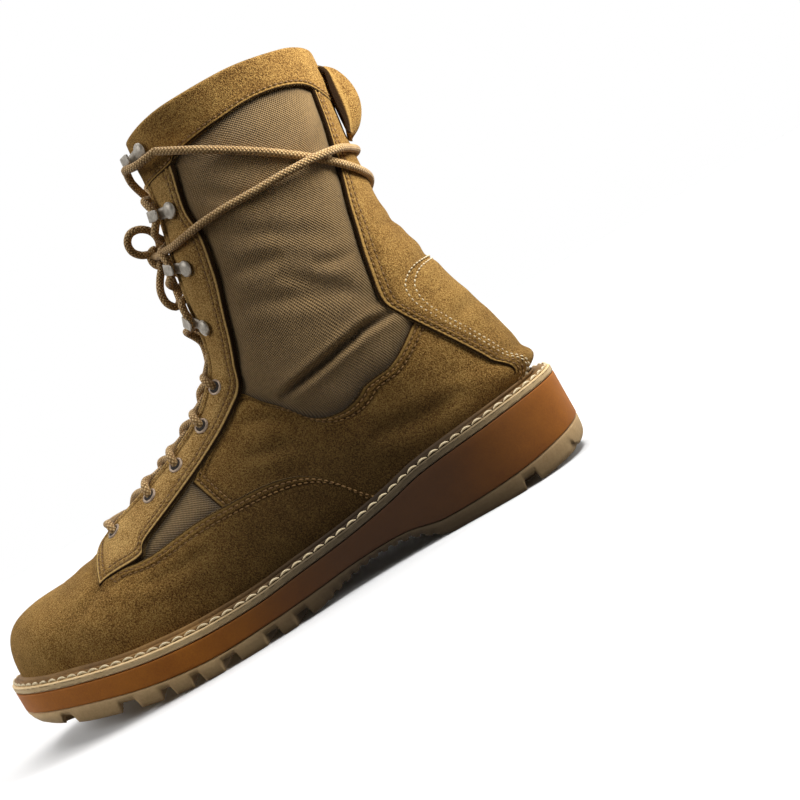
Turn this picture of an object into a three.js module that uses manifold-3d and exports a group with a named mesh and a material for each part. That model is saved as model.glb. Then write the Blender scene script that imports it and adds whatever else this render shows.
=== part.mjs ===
// Combat boot, left foot, size EU 43: a suede and nylon upper on a welted three-layer sole.
// Millimetres. +X points to the toe, +Y to the wearer's left (the outer side), +Z up.
// Shapes are worked out "along" from the back of the heel, and the whole boot is then
// moved so that its origin is in the middle of the sole, on the ground.

import * as THREE from 'three';
import { mergeVertices } from 'three/addons/utils/BufferGeometryUtils.js';
import Module from 'manifold-3d';

const wasm = await Module();
wasm.setup();
const { Manifold, Mesh } = wasm;

// ---------------------------------------------------------------- driving dimensions

const SOLE_LENGTH = 310;
const GAP = 0.3;              // air between pieces that meet
const STRIP = 3.8;            // pale midsole strip
const WELT = 1.6;             // welt ledge
const WELT_LIP = 3.0;         // how high the lip stands above the ledge
const LIP_WIDTH = 2.6;
const LEDGE_INSET = 2.6;      // the welt ledge starts this far inside the sole's edge
const WALL = 3.0;             // wall of the upper, with lining
const INSOLE = 4.0;
const COLLAR_PROUD = 2.0;     // the padded collar stands this far outside the upper
const RIM = 232;              // height of the upper's rim
const TONGUE_DEPTH = 4.2;     // the tongue's face lies this far inside the upper's face
const TONGUE = 3.2;
const TONGUE_RISE = 1.5;      // above the rim
const COLLAR_RISE = 0.6;      // the collar's roll, above the rim
const LACE = 3.8;
const LUG = 4.6;

// Sole stations, a row for each place along the sole: half widths to the outer and inner
// side, height of the sole's top edge, of the wedge's underside and of the tread's underside.
const SOLE = [
  { along: 0, lateral: 0, medial: 0, top: 42.5, wedge: 15.5, ground: 6.5 },
  { along: 4, lateral: 16, medial: 16, top: 42.3, wedge: 14.6, ground: 5.0 },
  { along: 14, lateral: 28, medial: 28, top: 41.6, wedge: 12.8, ground: 2.6 },
  { along: 40, lateral: 38.5, medial: 38, top: 39.3, wedge: 9.4, ground: 0 },
  { along: 80, lateral: 38.2, medial: 37.5, top: 34.8, wedge: 7.6, ground: 0 },
  { along: 100, lateral: 39, medial: 36.5, top: 30.2, wedge: 11.2, ground: 7.2 },
  { along: 124, lateral: 41.5, medial: 36.5, top: 26.2, wedge: 11.2, ground: 7.2 },
  { along: 150, lateral: 47.5, medial: 40.5, top: 23.8, wedge: 9.4, ground: 1.2 },
  { along: 172, lateral: 53, medial: 46, top: 22.0, wedge: 8.4, ground: 0 },
  { along: 200, lateral: 57, medial: 52, top: 22.2, wedge: 8.0, ground: 0 },
  { along: 230, lateral: 55.5, medial: 57, top: 25.0, wedge: 10.8, ground: 2.4 },
  { along: 262, lateral: 46.5, medial: 54.5, top: 30.2, wedge: 16.4, ground: 7.8 },
  { along: 288, lateral: 31.5, medial: 44, top: 34.6, wedge: 20.8, ground: 12.0 },
  { along: 303, lateral: 13, medial: 29, top: 36.2, wedge: 22.4, ground: 13.8 },
  { along: 310, lateral: -8, medial: 8, top: 36.6, wedge: 22.8, ground: 14.2 },
];

// Sections of the upper, from toe box to rim. Each runs from the crest (fx, fz) by a bend
// (kx, kz) to the back or underside (bx, bz), all seen from the side; lateral and medial are
// its half widths, shift moves it sideways, widest says where along it the widest place
// is, and front and back are the fullness (superellipse power) of its two ends.
const UPPER = [
  [262, 66.3, 262, 42, 262, 20, 43.0, 42.0, -4.5, 0.68, 2.35, 3.0],
  [240, 71.0, 240, 43, 240, 16, 48.0, 48.0, -1.5, 0.70, 2.15, 3.0],
  [217, 82.5, 215, 46, 212, 12, 48.5, 45.5, 0.0, 0.72, 1.90, 3.0],
  [196, 91.0, 190, 50, 184, 12, 45.5, 40.5, 0.0, 0.72, 1.85, 3.0],
  [176, 100.5, 165, 54, 154, 12, 40.5, 35.0, -0.5, 0.72, 1.85, 3.0],
  [161, 109.3, 141, 58, 118, 14, 36.0, 31.5, -1.0, 0.70, 1.85, 3.0],
  [151, 118.5, 122, 56, 70, 14, 34.0, 31.5, -1.0, 0.68, 1.90, 2.6],
  [144.5, 127.5, 108, 46, 9.5, 45, 33.5, 32.5, -1.0, 0.66, 1.95, 2.7],
  [141, 137, 106, 64, 9, 58, 34.0, 33.0, -1.0, 0.64, 2.00, 2.5],
  [139.5, 145.5, 103, 82, 11.5, 71.5, 34.5, 33.5, -1.0, 0.61, 2.05, 2.3],
  [138.5, 154.5, 100, 101, 16.5, 87, 35.0, 34.0, -1.0, 0.58, 2.10, 2.15],
  [136.5, 165, 96, 124, 22.5, 106, 35.5, 34.5, -1.0, 0.55, 2.15, 2.05],
  [134.5, 176, 92, 146, 29, 127, 36.5, 35.5, -1.0, 0.52, 2.20, 2.0],
  [132, 188, 88, 168, 34, 149, 38.0, 37.0, -1.0, 0.50, 2.20, 2.05],
  [129.5, 200, 84, 187, 33.5, 172, 39.5, 38.5, -1.0, 0.50, 2.20, 2.1],
  [127, 213, 80, 206, 31, 198, 40.5, 39.5, -1.0, 0.50, 2.20, 2.1],
  [125, RIM, 77, RIM + 1, 28, RIM, 41.0, 40.0, -1.0, 0.50, 2.20, 2.1],
].map(([fx, fz, kx, kz, bx, bz, lateral, medial, shift, widest, front, back]) => (
  { fx, fz, kx, kz, bx, bz, lateral, medial, shift, widest, front, back }
));
const RIM_ROW = UPPER.length - 1;

// The toe box ahead of the first section closes on this nose.
const NOSE = { along: 302, height: 43, inward: 3.5, planPower: 1.75, sidePower: 2.6 };

// Lacing rows: the section they lie on, how far the eyelet or hook is from the crest, half
// the width of the throat there, and how high the lace above the row crosses itself.
const LACING = [
  { section: 1.89, out: 21, throat: 12, middle: 1 },
  { section: 2.94, out: 23, throat: 13.5, middle: 1 },
  { section: 3.76, out: 22.5, throat: 13, middle: 1 },
  { section: 4.86, out: 19.5, throat: 11, middle: 1 },
  { section: 6.25, out: 17.5, throat: 9.5, middle: 1 },
  { section: 9.27, out: 19.5, throat: 9.5, middle: -1.8 },
  { section: 11.71, out: 25, throat: 13.5, middle: -1.8 },
  { section: 13.64, out: 30, throat: 17.5, middle: 1 },
  { section: 15.48, out: 28.5, throat: 17.5, middle: 1 },
];
const EYELET_ROWS = 5;
const THROAT_START = { section: 1.4, half: 8 };

// ---------------------------------------------------------------- splines and curves

const catmullRom = (a, b, c, d, t) => 0.5 * (
  2 * b + (c - a) * t + (2 * a - 5 * b + 4 * c - d) * t * t + (3 * b - a - 3 * c + d) * t * t * t
);

// A column of a table of evenly numbered rows, at row number s.
const columnAt = (rows, column, s) => {
  const last = rows.length - 1;
  const i = Math.min(Math.max(Math.floor(s), 0), last - 1);
  const before = i > 0 ? rows[i - 1][column] : 2 * rows[0][column] - rows[1][column];
  const after = i < last - 1 ? rows[i + 2][column] : 2 * rows[last][column] - rows[last - 1][column];
  return catmullRom(before, rows[i][column], rows[i + 1][column], after, s - i);
};

// A column of a table whose rows are numbered by another of its columns.
const columnBy = (rows, key, column, x) => {
  const last = rows.length - 1;
  const at = Math.min(Math.max(x, rows[0][key]), rows[last][key]);
  let i = 0;
  while (i < last - 1 && rows[i + 1][key] < at) i += 1;
  const slope = (j) => {
    const lo = rows[Math.max(j - 1, 0)];
    const hi = rows[Math.min(j + 1, last)];
    return (hi[column] - lo[column]) / (hi[key] - lo[key]);
  };
  const step = rows[i + 1][key] - rows[i][key];
  const t = (at - rows[i][key]) / step;
  const rise = t * t * (3 - 2 * t);
  return rows[i][column] * (1 - rise) + rows[i + 1][column] * rise
    + step * (slope(i) * t * (1 - t) * (1 - t) - slope(i + 1) * t * t * (1 - t));
};

const topOf = (x) => columnBy(SOLE, 'along', 'top', x);
const wedgeOf = (x) => columnBy(SOLE, 'along', 'wedge', x);
const groundOf = (x) => Math.max(columnBy(SOLE, 'along', 'ground', x), 0);

// ---------------------------------------------------------------- solids

const solidOf = (geometry) => {
  const bare = geometry.clone();
  bare.deleteAttribute('normal');
  bare.deleteAttribute('uv');
  const merged = mergeVertices(bare, 1e-4);
  return new Manifold(new Mesh({
    numProp: 3,
    vertProperties: new Float32Array(merged.attributes.position.array),
    triVerts: new Uint32Array(merged.index.array),
  }));
};

const geometryOf = (solid) => {
  const mesh = solid.getMesh();
  const geometry = new THREE.BufferGeometry();
  const places = new Float32Array((mesh.vertProperties.length / mesh.numProp) * 3);
  for (let i = 0; i < places.length / 3; i += 1) {
    for (let k = 0; k < 3; k += 1) places[3 * i + k] = mesh.vertProperties[mesh.numProp * i + k];
  }
  geometry.setAttribute('position', new THREE.BufferAttribute(places, 3));
  geometry.setIndex(new THREE.BufferAttribute(new Uint32Array(mesh.triVerts), 1));
  geometry.computeVertexNormals();
  return geometry;
};

// A closed skin over loops of equal length, fanned shut at both ends. It is turned
// inside out afterwards if the loops run the other way round.
const skin = (loops) => {
  const count = loops[0].length;
  const places = loops.flat();
  const faces = [];
  for (let row = 0; row + 1 < loops.length; row += 1) {
    for (let i = 0; i < count; i += 1) {
      const a = row * count + i;
      const b = row * count + ((i + 1) % count);
      faces.push(a, b, a + count, b, b + count, a + count);
    }
  }
  for (const [row, flip] of [[0, true], [loops.length - 1, false]]) {
    const centre = places.length;
    places.push(loops[row].reduce((sum, p) => sum.add(p), new THREE.Vector3()).divideScalar(count));
    for (let i = 0; i < count; i += 1) {
      const a = row * count + i;
      const b = row * count + ((i + 1) % count);
      faces.push(centre, flip ? b : a, flip ? a : b);
    }
  }
  return closed(places, faces);
};

const closed = (places, faces) => {
  let volume = 0;
  for (let i = 0; i < faces.length; i += 3) {
    const [a, b, c] = [places[faces[i]], places[faces[i + 1]], places[faces[i + 2]]];
    volume += a.dot(b.clone().cross(c));
  }
  const index = volume > 0 ? faces : faces.slice().reverse();
  const geometry = new THREE.BufferGeometry();
  const numbers = places.flatMap((p) => [p.x, p.y, p.z]);
  geometry.setAttribute('position', new THREE.Float32BufferAttribute(numbers, 3));
  geometry.setIndex(index);
  geometry.computeVertexNormals();
  return geometry;
};

// ---------------------------------------------------------------- the sole's plates

const OUTLINE_STEPS = 56;

// The sole's outline, from the back of the heel round the outer side to the toe and back.
const outline = new THREE.CatmullRomCurve3([
  ...SOLE.map((row) => new THREE.Vector3(row.along, row.lateral, 0)),
  ...SOLE.slice(1, -1).reverse().map((row) => new THREE.Vector3(row.along, -row.medial, 0)),
], true, 'centripetal');
const TOE_SHARE = (SOLE.length - 1) / (2 * SOLE.length - 2);

// Outline points moved inwards by inset(along), in mm.
const outlinePoints = (inset) => {
  const points = [];
  for (let i = 0; i < OUTLINE_STEPS; i += 1) {
    const t = 2 * TOE_SHARE * (i / OUTLINE_STEPS);
    const p = outline.getPoint(t);
    const tangent = outline.getTangent(t);
    const inward = new THREE.Vector3(tangent.y, -tangent.x, 0).normalize();
    points.push(p.addScaledVector(inward, inset(p.x)));
  }
  return points;
};

// A plate between two heights that depend on the place along the sole. Its rungs cross
// from the outer edge to the inner edge.
const plate = (low, high, insetLow = () => 0, insetHigh = insetLow) => {
  const bottom = outlinePoints(insetLow).map((p) => new THREE.Vector3(p.x, p.y, low(p.x)));
  const top = outlinePoints(insetHigh).map((p) => new THREE.Vector3(p.x, p.y, high(p.x)));
  const n = OUTLINE_STEPS;
  const faces = [];
  for (let i = 0; i < n; i += 1) {
    const j = (i + 1) % n;
    faces.push(i, n + i, j, j, n + i, n + j);
  }
  for (let i = 0; i < n / 2; i += 1) {
    const [a, b, c, d] = [i, i + 1, (n - i) % n, n - i - 1];
    if (a !== c) faces.push(a, b, c, n + a, n + c, n + b);
    if (b !== d) faces.push(b, d, c, n + b, n + c, n + d);
  }
  return closed([...bottom, ...top], faces);
};

const outsole = () => {
  const toeTuck = (x) => 1 + 4 * THREE.MathUtils.smoothstep(x, 262, 306);
  let solid = solidOf(plate(groundOf, (x) => wedgeOf(x) - GAP / 2, toeTuck, () => 0.4));
  for (const side of [1, -1]) {
    for (const notch of NOTCHES) {
      const edge = columnBy(SOLE, 'along', side > 0 ? 'lateral' : 'medial', notch.along);
      const middle = side * (edge + 4 - notch.deep / 2);
      const floor = groundOf(notch.along) + LUG;
      solid = solid.subtract(solidOf(notchBar(notch, middle, floor, side * notch.slant)));
    }
  }
  return geometryOf(solid);
};

// Notches between the lugs: place along the sole, width, length inwards and slant.
const NOTCHES = [
  { along: 37.5, wide: 7, deep: 26, slant: 0 },
  { along: 155.5, wide: 6.5, deep: 38, slant: -0.18 },
  { along: 171, wide: 6.5, deep: 42, slant: -0.12 },
  { along: 193.5, wide: 7.5, deep: 44, slant: 0 },
  { along: 211, wide: 4.5, deep: 42, slant: 0.08 },
  { along: 226.5, wide: 5, deep: 40, slant: 0.16 },
  { along: 246, wide: 7.5, deep: 36, slant: 0.26 },
  { along: 275, wide: 4, deep: 18, slant: 0.4 },
];

// A bar with sloping sides, wider at the ground than at its floor.
const notchBar = (notch, middle, floor, slant) => {
  const wall = 1.2;
  const half = notch.wide / 2;
  const below = -4;
  const section = new THREE.Shape([
    new THREE.Vector2(-half - wall, below),
    new THREE.Vector2(half + wall, below),
    new THREE.Vector2(half, floor),
    new THREE.Vector2(-half, floor),
  ]);
  const bar = new THREE.ExtrudeGeometry(section, { depth: notch.deep + 8, bevelEnabled: false });
  bar.translate(0, 0, -(notch.deep + 8) / 2);
  bar.rotateX(Math.PI / 2);
  bar.rotateZ(slant);
  bar.translate(notch.along, middle + 4 * Math.sign(middle), 0);
  return bar;
};

const wedge = () => plate(
  (x) => wedgeOf(x) + GAP / 2,
  (x) => topOf(x) - STRIP - GAP / 2,
  () => 0.4,
  () => 0.2,
);

const strip = () => plate((x) => topOf(x) - STRIP + GAP / 2, (x) => topOf(x) - GAP / 2);

// ---------------------------------------------------------------- the upper's surface

// A point of the upper's outer face: s is the section, u goes from 0 at the crest to 1 at
// the back on the outer side, and to -1 on the inner side. Ahead of section 0 the toe box
// closes on the nose as s falls to -1.
const upperPoint = (s, u) => {
  const turn = ((u + 3) % 2) - 1;
  const side = turn < 0 ? 'medial' : 'lateral';
  const row = Math.max(s, 0);
  const get = (column) => columnAt(UPPER, column, row);
  const angle = Math.abs(turn) * Math.PI;
  const front = angle < Math.PI / 2;
  const power = 2 / get(front ? 'front' : 'back');
  const reach = Math.abs(Math.cos(angle)) ** power;
  const widest = get('widest');
  const c = front ? widest * (1 - reach) : widest + (1 - widest) * reach;
  const width = Math.sign(turn) * get(side) * Math.max(Math.sin(angle), 0) ** power;
  const bend = (a, b, d) => (1 - c) * (1 - c) * get(a) + 2 * c * (1 - c) * get(b) + c * c * get(d);
  const p = new THREE.Vector3(bend('fx', 'kx', 'bx'), get('shift') + width, bend('fz', 'kz', 'bz'));
  if (s < 0) {
    const f = Math.sin(Math.min(-s, 1) * (Math.PI / 2));
    const plan = Math.max(1 - f ** NOSE.planPower, 0) ** (1 / NOSE.planPower);
    const rise = Math.max(1 - f ** NOSE.sidePower, 0) ** (1 / NOSE.sidePower);
    p.x = UPPER[0].fx + (NOSE.along - UPPER[0].fx) * f;
    p.y = get('shift') - f * NOSE.inward + width * plan;
    p.z = NOSE.height + (p.z - NOSE.height) * rise;
  }
  return p;
};

const STEP = 0.004;

const upperNormal = (s, u) => {
  const lo = Math.max(s - STEP, -1);
  const hi = Math.min(s + STEP, RIM_ROW);
  const round = upperPoint(s, u + STEP).sub(upperPoint(s, u - STEP));
  const up = upperPoint(hi, u).sub(upperPoint(lo, u));
  return round.cross(up).normalize();
};

const raised = (s, u, lift) => upperPoint(s, u).addScaledVector(upperNormal(s, u), lift);

// The place u that lies a given distance out from the crest along section s.
const placeFromCrest = (s, out) => {
  const side = Math.sign(out) || 1;
  const stride = 0.01;
  let u = 0;
  let gone = 0;
  let last = upperPoint(s, 0);
  while (gone < Math.abs(out) && u < 1) {
    u += stride;
    const next = upperPoint(s, side * u);
    const leg = next.distanceTo(last);
    if (gone + leg > Math.abs(out)) return side * (u - stride + (stride * (Math.abs(out) - gone)) / leg);
    gone += leg;
    last = next;
  }
  return side * u;
};

const LOOP_POINTS = 22;
const SECTION_STEP = 0.6;
const NOSE_ROWS = [-0.995, -0.85, -0.68, -0.48, -0.25];
const SHAFT_FROM = 9;

const sectionNumbers = () => {
  const list = [...NOSE_ROWS];
  for (let s = 0; s < SHAFT_FROM - 0.1; s += SECTION_STEP) list.push(s);
  for (let s = SHAFT_FROM; s <= RIM_ROW; s += 1) list.push(s);
  return list;
};

// The whole boot form as one closed body, grown outwards by lift and carried up past the
// rim by rise.
const form = (lift, rise = 0) => {
  const loops = sectionNumbers().map((s) => {
    const loop = [];
    for (let i = 0; i < LOOP_POINTS; i += 1) loop.push(raised(s, (2 * i) / LOOP_POINTS, lift));
    return loop;
  });
  const rim = loops[loops.length - 1];
  if (rise > 0) loops.push(rim.map((p) => p.clone().setZ(p.z + rise)));
  return solidOf(skin(loops));
};

const throatHalf = (s) => {
  const rows = [{ section: THROAT_START.section, throat: THROAT_START.half }, ...LACING];
  return columnBy(rows, 'section', 'throat', s);
};

// The throat as a ribbon-shaped cutter that follows the crest.
const throatCutter = () => {
  const outside = 14;
  const inside = 24;
  const loops = [];
  const ring = (s, lift) => {
    const crest = upperPoint(s, 0);
    const out = upperNormal(s, 0).setY(0).normalize();
    const half = throatHalf(s);
    return [[outside, half], [outside, -half], [-inside, -half], [-inside, half]].map(([reach, y]) => (
      crest.clone().addScaledVector(out, reach).add(new THREE.Vector3(0, y, lift))
    ));
  };
  for (let s = THROAT_START.section; s < RIM_ROW; s += 0.6) loops.push(ring(s, 0));
  loops.push(ring(RIM_ROW, 0), ring(RIM_ROW, 20));
  return solidOf(skin(loops));
};

// A slab between two heights that reaches past the sole's edge all round.
const SLAB_MARGIN = 12;
const slab = (low, high) => solidOf(plate(low, high, () => -SLAB_MARGIN));

const upper = () => {
  let solid = form(0)
    .subtract(form(-WALL, 10))
    .subtract(slab(() => -10, (x) => topOf(x) + GAP / 2))
    .subtract(throatCutter());
  for (let row = 0; row < EYELET_ROWS; row += 1) {
    for (const side of [1, -1]) {
      const hole = new THREE.CylinderGeometry(EYELET.hole, EYELET.hole, 4 * WALL, 8).rotateX(Math.PI / 2);
      hole.applyMatrix4(seat(row, side));
      solid = solid.subtract(solidOf(hole));
    }
  }
  return geometryOf(solid);
};

const insole = () => geometryOf(
  form(-WALL - GAP, 10).intersect(slab((x) => topOf(x) + GAP / 2, (x) => topOf(x) + INSOLE)),
);

// The welt is a ledge with a lip that stands against the upper all round.
const welt = () => {
  const ledge = solidOf(plate(
    (x) => topOf(x) + GAP / 2,
    (x) => topOf(x) + WELT,
    () => LEDGE_INSET,
  ));
  const lip = form(LIP_WIDTH + GAP).intersect(slab((x) => topOf(x) + 0.8, (x) => topOf(x) + WELT + WELT_LIP));
  return geometryOf(ledge.add(lip).subtract(form(GAP)));
};

// Lower edge of the padded collar, which dips towards front and back.
const collarFoot = (x) => 212 - 0.004 * Math.min(x - 72, 60) ** 2;

const collar = () => geometryOf(
  form(COLLAR_PROUD, COLLAR_RISE)
    .subtract(form(GAP, GAP))
    .subtract(form(-WALL, 20))
    .intersect(slab(collarFoot, () => RIM + 20))
    .subtract(throatCutter()),
);

// ---------------------------------------------------------------- tongue

const tongue = () => {
  const columns = 8;
  const loops = [];
  const ring = (s, rise) => {
    const half = throatHalf(Math.max(s, THROAT_START.section)) + 15;
    const face = [];
    for (let i = 0; i <= columns; i += 1) {
      const out = half * ((2 * i) / columns - 1);
      face.push(out === 0 ? 0 : placeFromCrest(s, out));
    }
    const layer = (depth) => face.map((u) => raised(s, u, -depth).add(new THREE.Vector3(0, 0, rise)));
    return [...layer(TONGUE_DEPTH), ...layer(TONGUE_DEPTH + TONGUE).reverse()];
  };
  for (const s of sectionNumbers()) if (s > 0.5) loops.push(ring(s, 0));
  loops.push(ring(RIM_ROW, TONGUE_RISE));
  return skin(loops);
};

// ---------------------------------------------------------------- pull loop

// A strip of webbing folded to a loop at the back of the collar, seen from the side.
// The strap's line in side view, along and up, from its foot over the back to its folded top.
const PULL = {
  thick: 2, width: 20, steps: 10,
  line: [[30, 185.4], [26, 190.8], [23.2, 199], [22.6, 208], [23.2, 215.5], [24.2, 217.6]],
};

const pullLoop = () => {
  const line = new THREE.CatmullRomCurve3(PULL.line.map(([x, z]) => new THREE.Vector3(x, 0, z)));
  const outer = [];
  const inner = [];
  for (let i = 0; i <= PULL.steps; i += 1) {
    const p = line.getPoint(i / PULL.steps);
    const across = line.getTangent(i / PULL.steps).multiplyScalar(PULL.thick / 2);
    outer.push(new THREE.Vector2(p.x - across.z, p.z + across.x));
    inner.push(new THREE.Vector2(p.x + across.z, p.z - across.x));
  }
  const shape = new THREE.Shape([...outer, ...inner.reverse()]);
  const strap = new THREE.ExtrudeGeometry(shape, { depth: PULL.width, bevelEnabled: false });
  strap.translate(0, 0, -PULL.width / 2);
  strap.rotateX(Math.PI / 2);
  strap.translate(0, UPPER[RIM_ROW].shift, 0);
  return strap;
};

// ---------------------------------------------------------------- eyelets and hooks

const EYELET = { hole: 2.9, barrel: 2.6, bore: 1.9, flange: 4.2, proud: 0.9 };
const HOOK = {
  cap: 3.9, capHeight: 2.4, capAt: -1.8,
  plate: 5.4, thick: 0.9, tail: -3, bend: 10, throatHeight: 4.4, back: 3.2,
};

// Frame of a fitting on the upper: x to the throat, z outwards.
const seat = (row, side, lift = 0) => {
  const { section, out } = LACING[row];
  const u = placeFromCrest(section, side * out);
  const normal = upperNormal(section, u);
  const inward = upperPoint(section, placeFromCrest(section, side * (out - 3)))
    .sub(upperPoint(section, u));
  const across = new THREE.Vector3().crossVectors(normal, inward).normalize();
  const toThroat = new THREE.Vector3().crossVectors(across, normal);
  return new THREE.Matrix4()
    .makeBasis(toThroat, across, normal)
    .setPosition(raised(section, u, lift));
};

const eyelet = () => {
  const profile = [
    [EYELET.bore, -WALL - 0.2],
    [EYELET.barrel, -WALL - 0.2],
    [EYELET.barrel, GAP],
    [EYELET.flange, GAP],
    [EYELET.bore, GAP + EYELET.proud],
    [EYELET.bore, -WALL - 0.2],
  ].map(([r, z]) => new THREE.Vector2(r, z));
  return new THREE.LatheGeometry(profile, 8).rotateX(Math.PI / 2);
};

// A riveted speed hook: a base strip that turns up and back over the lace, and a domed cap.
const hook = () => {
  const { cap, capHeight, capAt, plate: width, thick, tail, bend, throatHeight, back } = HOOK;
  const middle = throatHeight / 2 + GAP;
  const arc = (radius, from, to) => Array.from({ length: 6 }, (_, i) => {
    const angle = from + ((to - from) * i) / 5;
    return new THREE.Vector2(bend + radius * Math.cos(angle), middle + radius * Math.sin(angle));
  });
  const outerRadius = throatHeight / 2;
  const side = new THREE.Shape([
    new THREE.Vector2(tail, GAP),
    ...arc(outerRadius, -Math.PI / 2, Math.PI / 2),
    new THREE.Vector2(back, middle + outerRadius),
    new THREE.Vector2(back, middle + outerRadius - thick),
    ...arc(outerRadius - thick, Math.PI / 2, -Math.PI / 2),
    new THREE.Vector2(tail, GAP + thick),
  ]);
  const strap = new THREE.ExtrudeGeometry(side, { depth: width, bevelEnabled: false });
  strap.translate(0, 0, -width / 2);
  strap.rotateX(Math.PI / 2);
  const dome = new THREE.LatheGeometry([
    [0, GAP + thick / 2], [cap, GAP + thick / 2], [cap, GAP + thick + 0.5],
    [cap * 0.65, GAP + capHeight - 0.3], [0, GAP + capHeight],
  ].map(([r, z]) => new THREE.Vector2(r, z)), 12).rotateX(Math.PI / 2);
  dome.translate(capAt, 0, 0);
  return geometryOf(solidOf(strap).add(solidOf(dome)));
};

// ---------------------------------------------------------------- laces

const CORD_SIDES = 8;
const CROSSING_SIDES = 6;
const CORD_STEP = 2.4 * LACE;

// A round cord through points, as an extrusion along their curve.
const cord = (points, sides = CORD_SIDES, spacing = CORD_STEP) => {
  const path = new THREE.CatmullRomCurve3(points, false, 'centripetal');
  const steps = Math.max(3, Math.round(path.getLength() / spacing));
  const section = new THREE.Shape(Array.from({ length: sides }, (_, i) => {
    const angle = (2 * Math.PI * i) / sides;
    return new THREE.Vector2((LACE / 2) * Math.cos(angle), (LACE / 2) * Math.sin(angle));
  }));
  return new THREE.ExtrudeGeometry(section, { steps, extrudePath: path, bevelEnabled: false });
};

// A point over the upper's surface, out mm from the crest (outer side positive) and lifted.
const over = (s, out, lift) => raised(s, placeFromCrest(s, out), lift);

// Where the lace stands over the upper: above an eyelet, over the throat's edge, in a hook,
// and under the throat's edge on its way to an eyelet.
const LIFT = { eyelet: EYELET.proud + 3, edge: 2.6, hook: 2.4, under: -0.6 };
const HOOK_TIP = 13.5;        // from a hook's seat to just past its bend

// Two strands from one lacing row to the next, joined where they cross over the tongue. A
// strand leaves an eyelet on top and goes under the edge to the next, or runs between hooks.
const crossing = (row) => {
  const [low, high] = [LACING[row], LACING[row + 1]];
  const at = (share) => low.section + share * (high.section - low.section);
  const strand = (side) => {
    const points = row >= EYELET_ROWS
      ? [over(at(0.1), side * (low.out - HOOK_TIP), LIFT.hook)]
      : [
        over(low.section, side * (low.out - EYELET.bore), LIFT.eyelet),
        over(at(0.12), side * (low.throat - 1), LIFT.edge),
      ];
    points.push(over(at(0.5), side * 0.3, low.middle));
    points.push(row + 1 >= EYELET_ROWS
      ? over(at(0.9), -side * (high.out - HOOK_TIP), LIFT.hook)
      : over(at(0.86), -side * (high.throat - 4), LIFT.under));
    return solidOf(cord(points, CROSSING_SIDES));
  };
  return strand(1).add(strand(-1));
};

// The lowest bar, straight across between the first two eyelets.
const lowestBar = () => {
  const { section, out, throat, middle } = LACING[0];
  return solidOf(cord([
    over(section, out - EYELET.bore, LIFT.eyelet),
    over(section - 0.12, throat - 1, LIFT.edge),
    over(section - 0.2, 0, middle + 0.8),
    over(section - 0.12, 1 - throat, LIFT.edge),
    over(section, EYELET.bore - out, LIFT.eyelet),
  ], CROSSING_SIDES));
};

// From each top hook the lace runs back round the shaft and forward again to the knot. A row
// gives the section, the place round it (0 crest, 1 back, 2 crest again, the outer side
// first) and the lift.
const WRAP_FROM_LATERAL = [
  [15.25, 0.300, 5.9], [15.05, 0.365, 5.9], [14.85, 0.430, 5.7], [14.62, 0.500, 3.2],
  [14.35, 0.590, 2.9], [14.1, 0.690, 2.9], [13.9, 0.790, 2.9], [13.75, 0.890, 2.9],
  [13.65, 1.000, 2.9], [13.5, 1.110, 2.9], [13.32, 1.220, 2.9], [13.15, 1.330, 2.9],
  [13.0, 1.440, 2.9], [12.87, 1.550, 2.9], [12.72, 1.640, 2.9], [12.58, 1.720, 2.9],
  [12.46, 1.790, 2.9], [12.4, 1.860, 3.4],
];
const WRAP_FROM_MEDIAL = [
  [15.25, 1.700, 5.9], [15.05, 1.635, 5.9], [14.85, 1.570, 5.7], [14.66, 1.500, 3.2],
  [14.52, 1.410, 2.9], [14.42, 1.310, 2.9], [14.35, 1.210, 2.9], [14.3, 1.110, 2.9],
  [14.27, 1.000, 2.9], [14.22, 0.890, 3.2], [14.15, 0.790, 6.4], [14.03, 0.700, 7.6],
  [13.85, 0.610, 5.2], [13.6, 0.520, 2.9], [13.3, 0.430, 2.9], [13.0, 0.345, 2.9],
  [12.7, 0.265, 2.9], [12.48, 0.195, 3.0], [12.4, 0.140, 3.4],
];
const wrap = (rows, ending) => cord([...rows.map(([s, u, lift]) => raised(s, u, lift)), ending]);

const KNOT = { x: 138.2, y: 0, z: 181, along: 4.4, across: 6, high: 5 };

const knot = () => {
  const profile = [-1, -0.72, 0, 0.72, 1].map((h) => new THREE.Vector2(Math.sqrt(1 - h * h), h));
  const body = new THREE.LatheGeometry(profile, 8);
  body.rotateX(Math.PI / 2);
  body.scale(KNOT.along, KNOT.across, KNOT.high);
  body.translate(KNOT.x, KNOT.y, KNOT.z);
  return body;
};

// The bow's two loops and two ends, from the knot and, for a loop, back to it.
const UPPER_LOOP = [
  [142.6, 1.5, 184.4], [145.6, 2.6, 185.6], [148.3, 4.4, 188.8], [147.9, 6, 193.2], [144.6, 6.8, 196.2],
  [140.2, 6.2, 196.2], [136.4, 4.2, 193.8], [135, 1.8, 190.6], [135.2, 0.6, 187.6],
];
const LOWER_LOOP = [
  [140.5, 2.2, 175.4], [143.6, 3.4, 171], [146.2, 4.6, 165.4], [146.4, 4.2, 159.6],
  [144, 1.2, 156.2], [141.6, -2.6, 158.2], [140.8, -4.8, 163], [139.8, -4.6, 169], [139, -2.8, 174.6],
];
const LONG_END = [
  [12.1, -9, 6.4], [11.95, -16, 8.6], [11.7, -24, 8.8], [11.3, -31, 6.6], [10.9, -36, 3.6],
  [10.4, -39, 2.9], [9.9, -41, 2.9], [9.4, -42.5, 2.9], [8.9, -43.5, 2.9],
];
const SHORT_END = [
  [12.25, -9, 11], [12.2, -16, 13], [12.0, -25, 13], [11.75, -34, 9.6], [11.4, -41, 5.4],
  [11.0, -46, 3.2], [10.6, -49, 2.9],
];
const spatial = (rows) => rows.map(([x, y, z]) => new THREE.Vector3(x, y, z));
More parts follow.
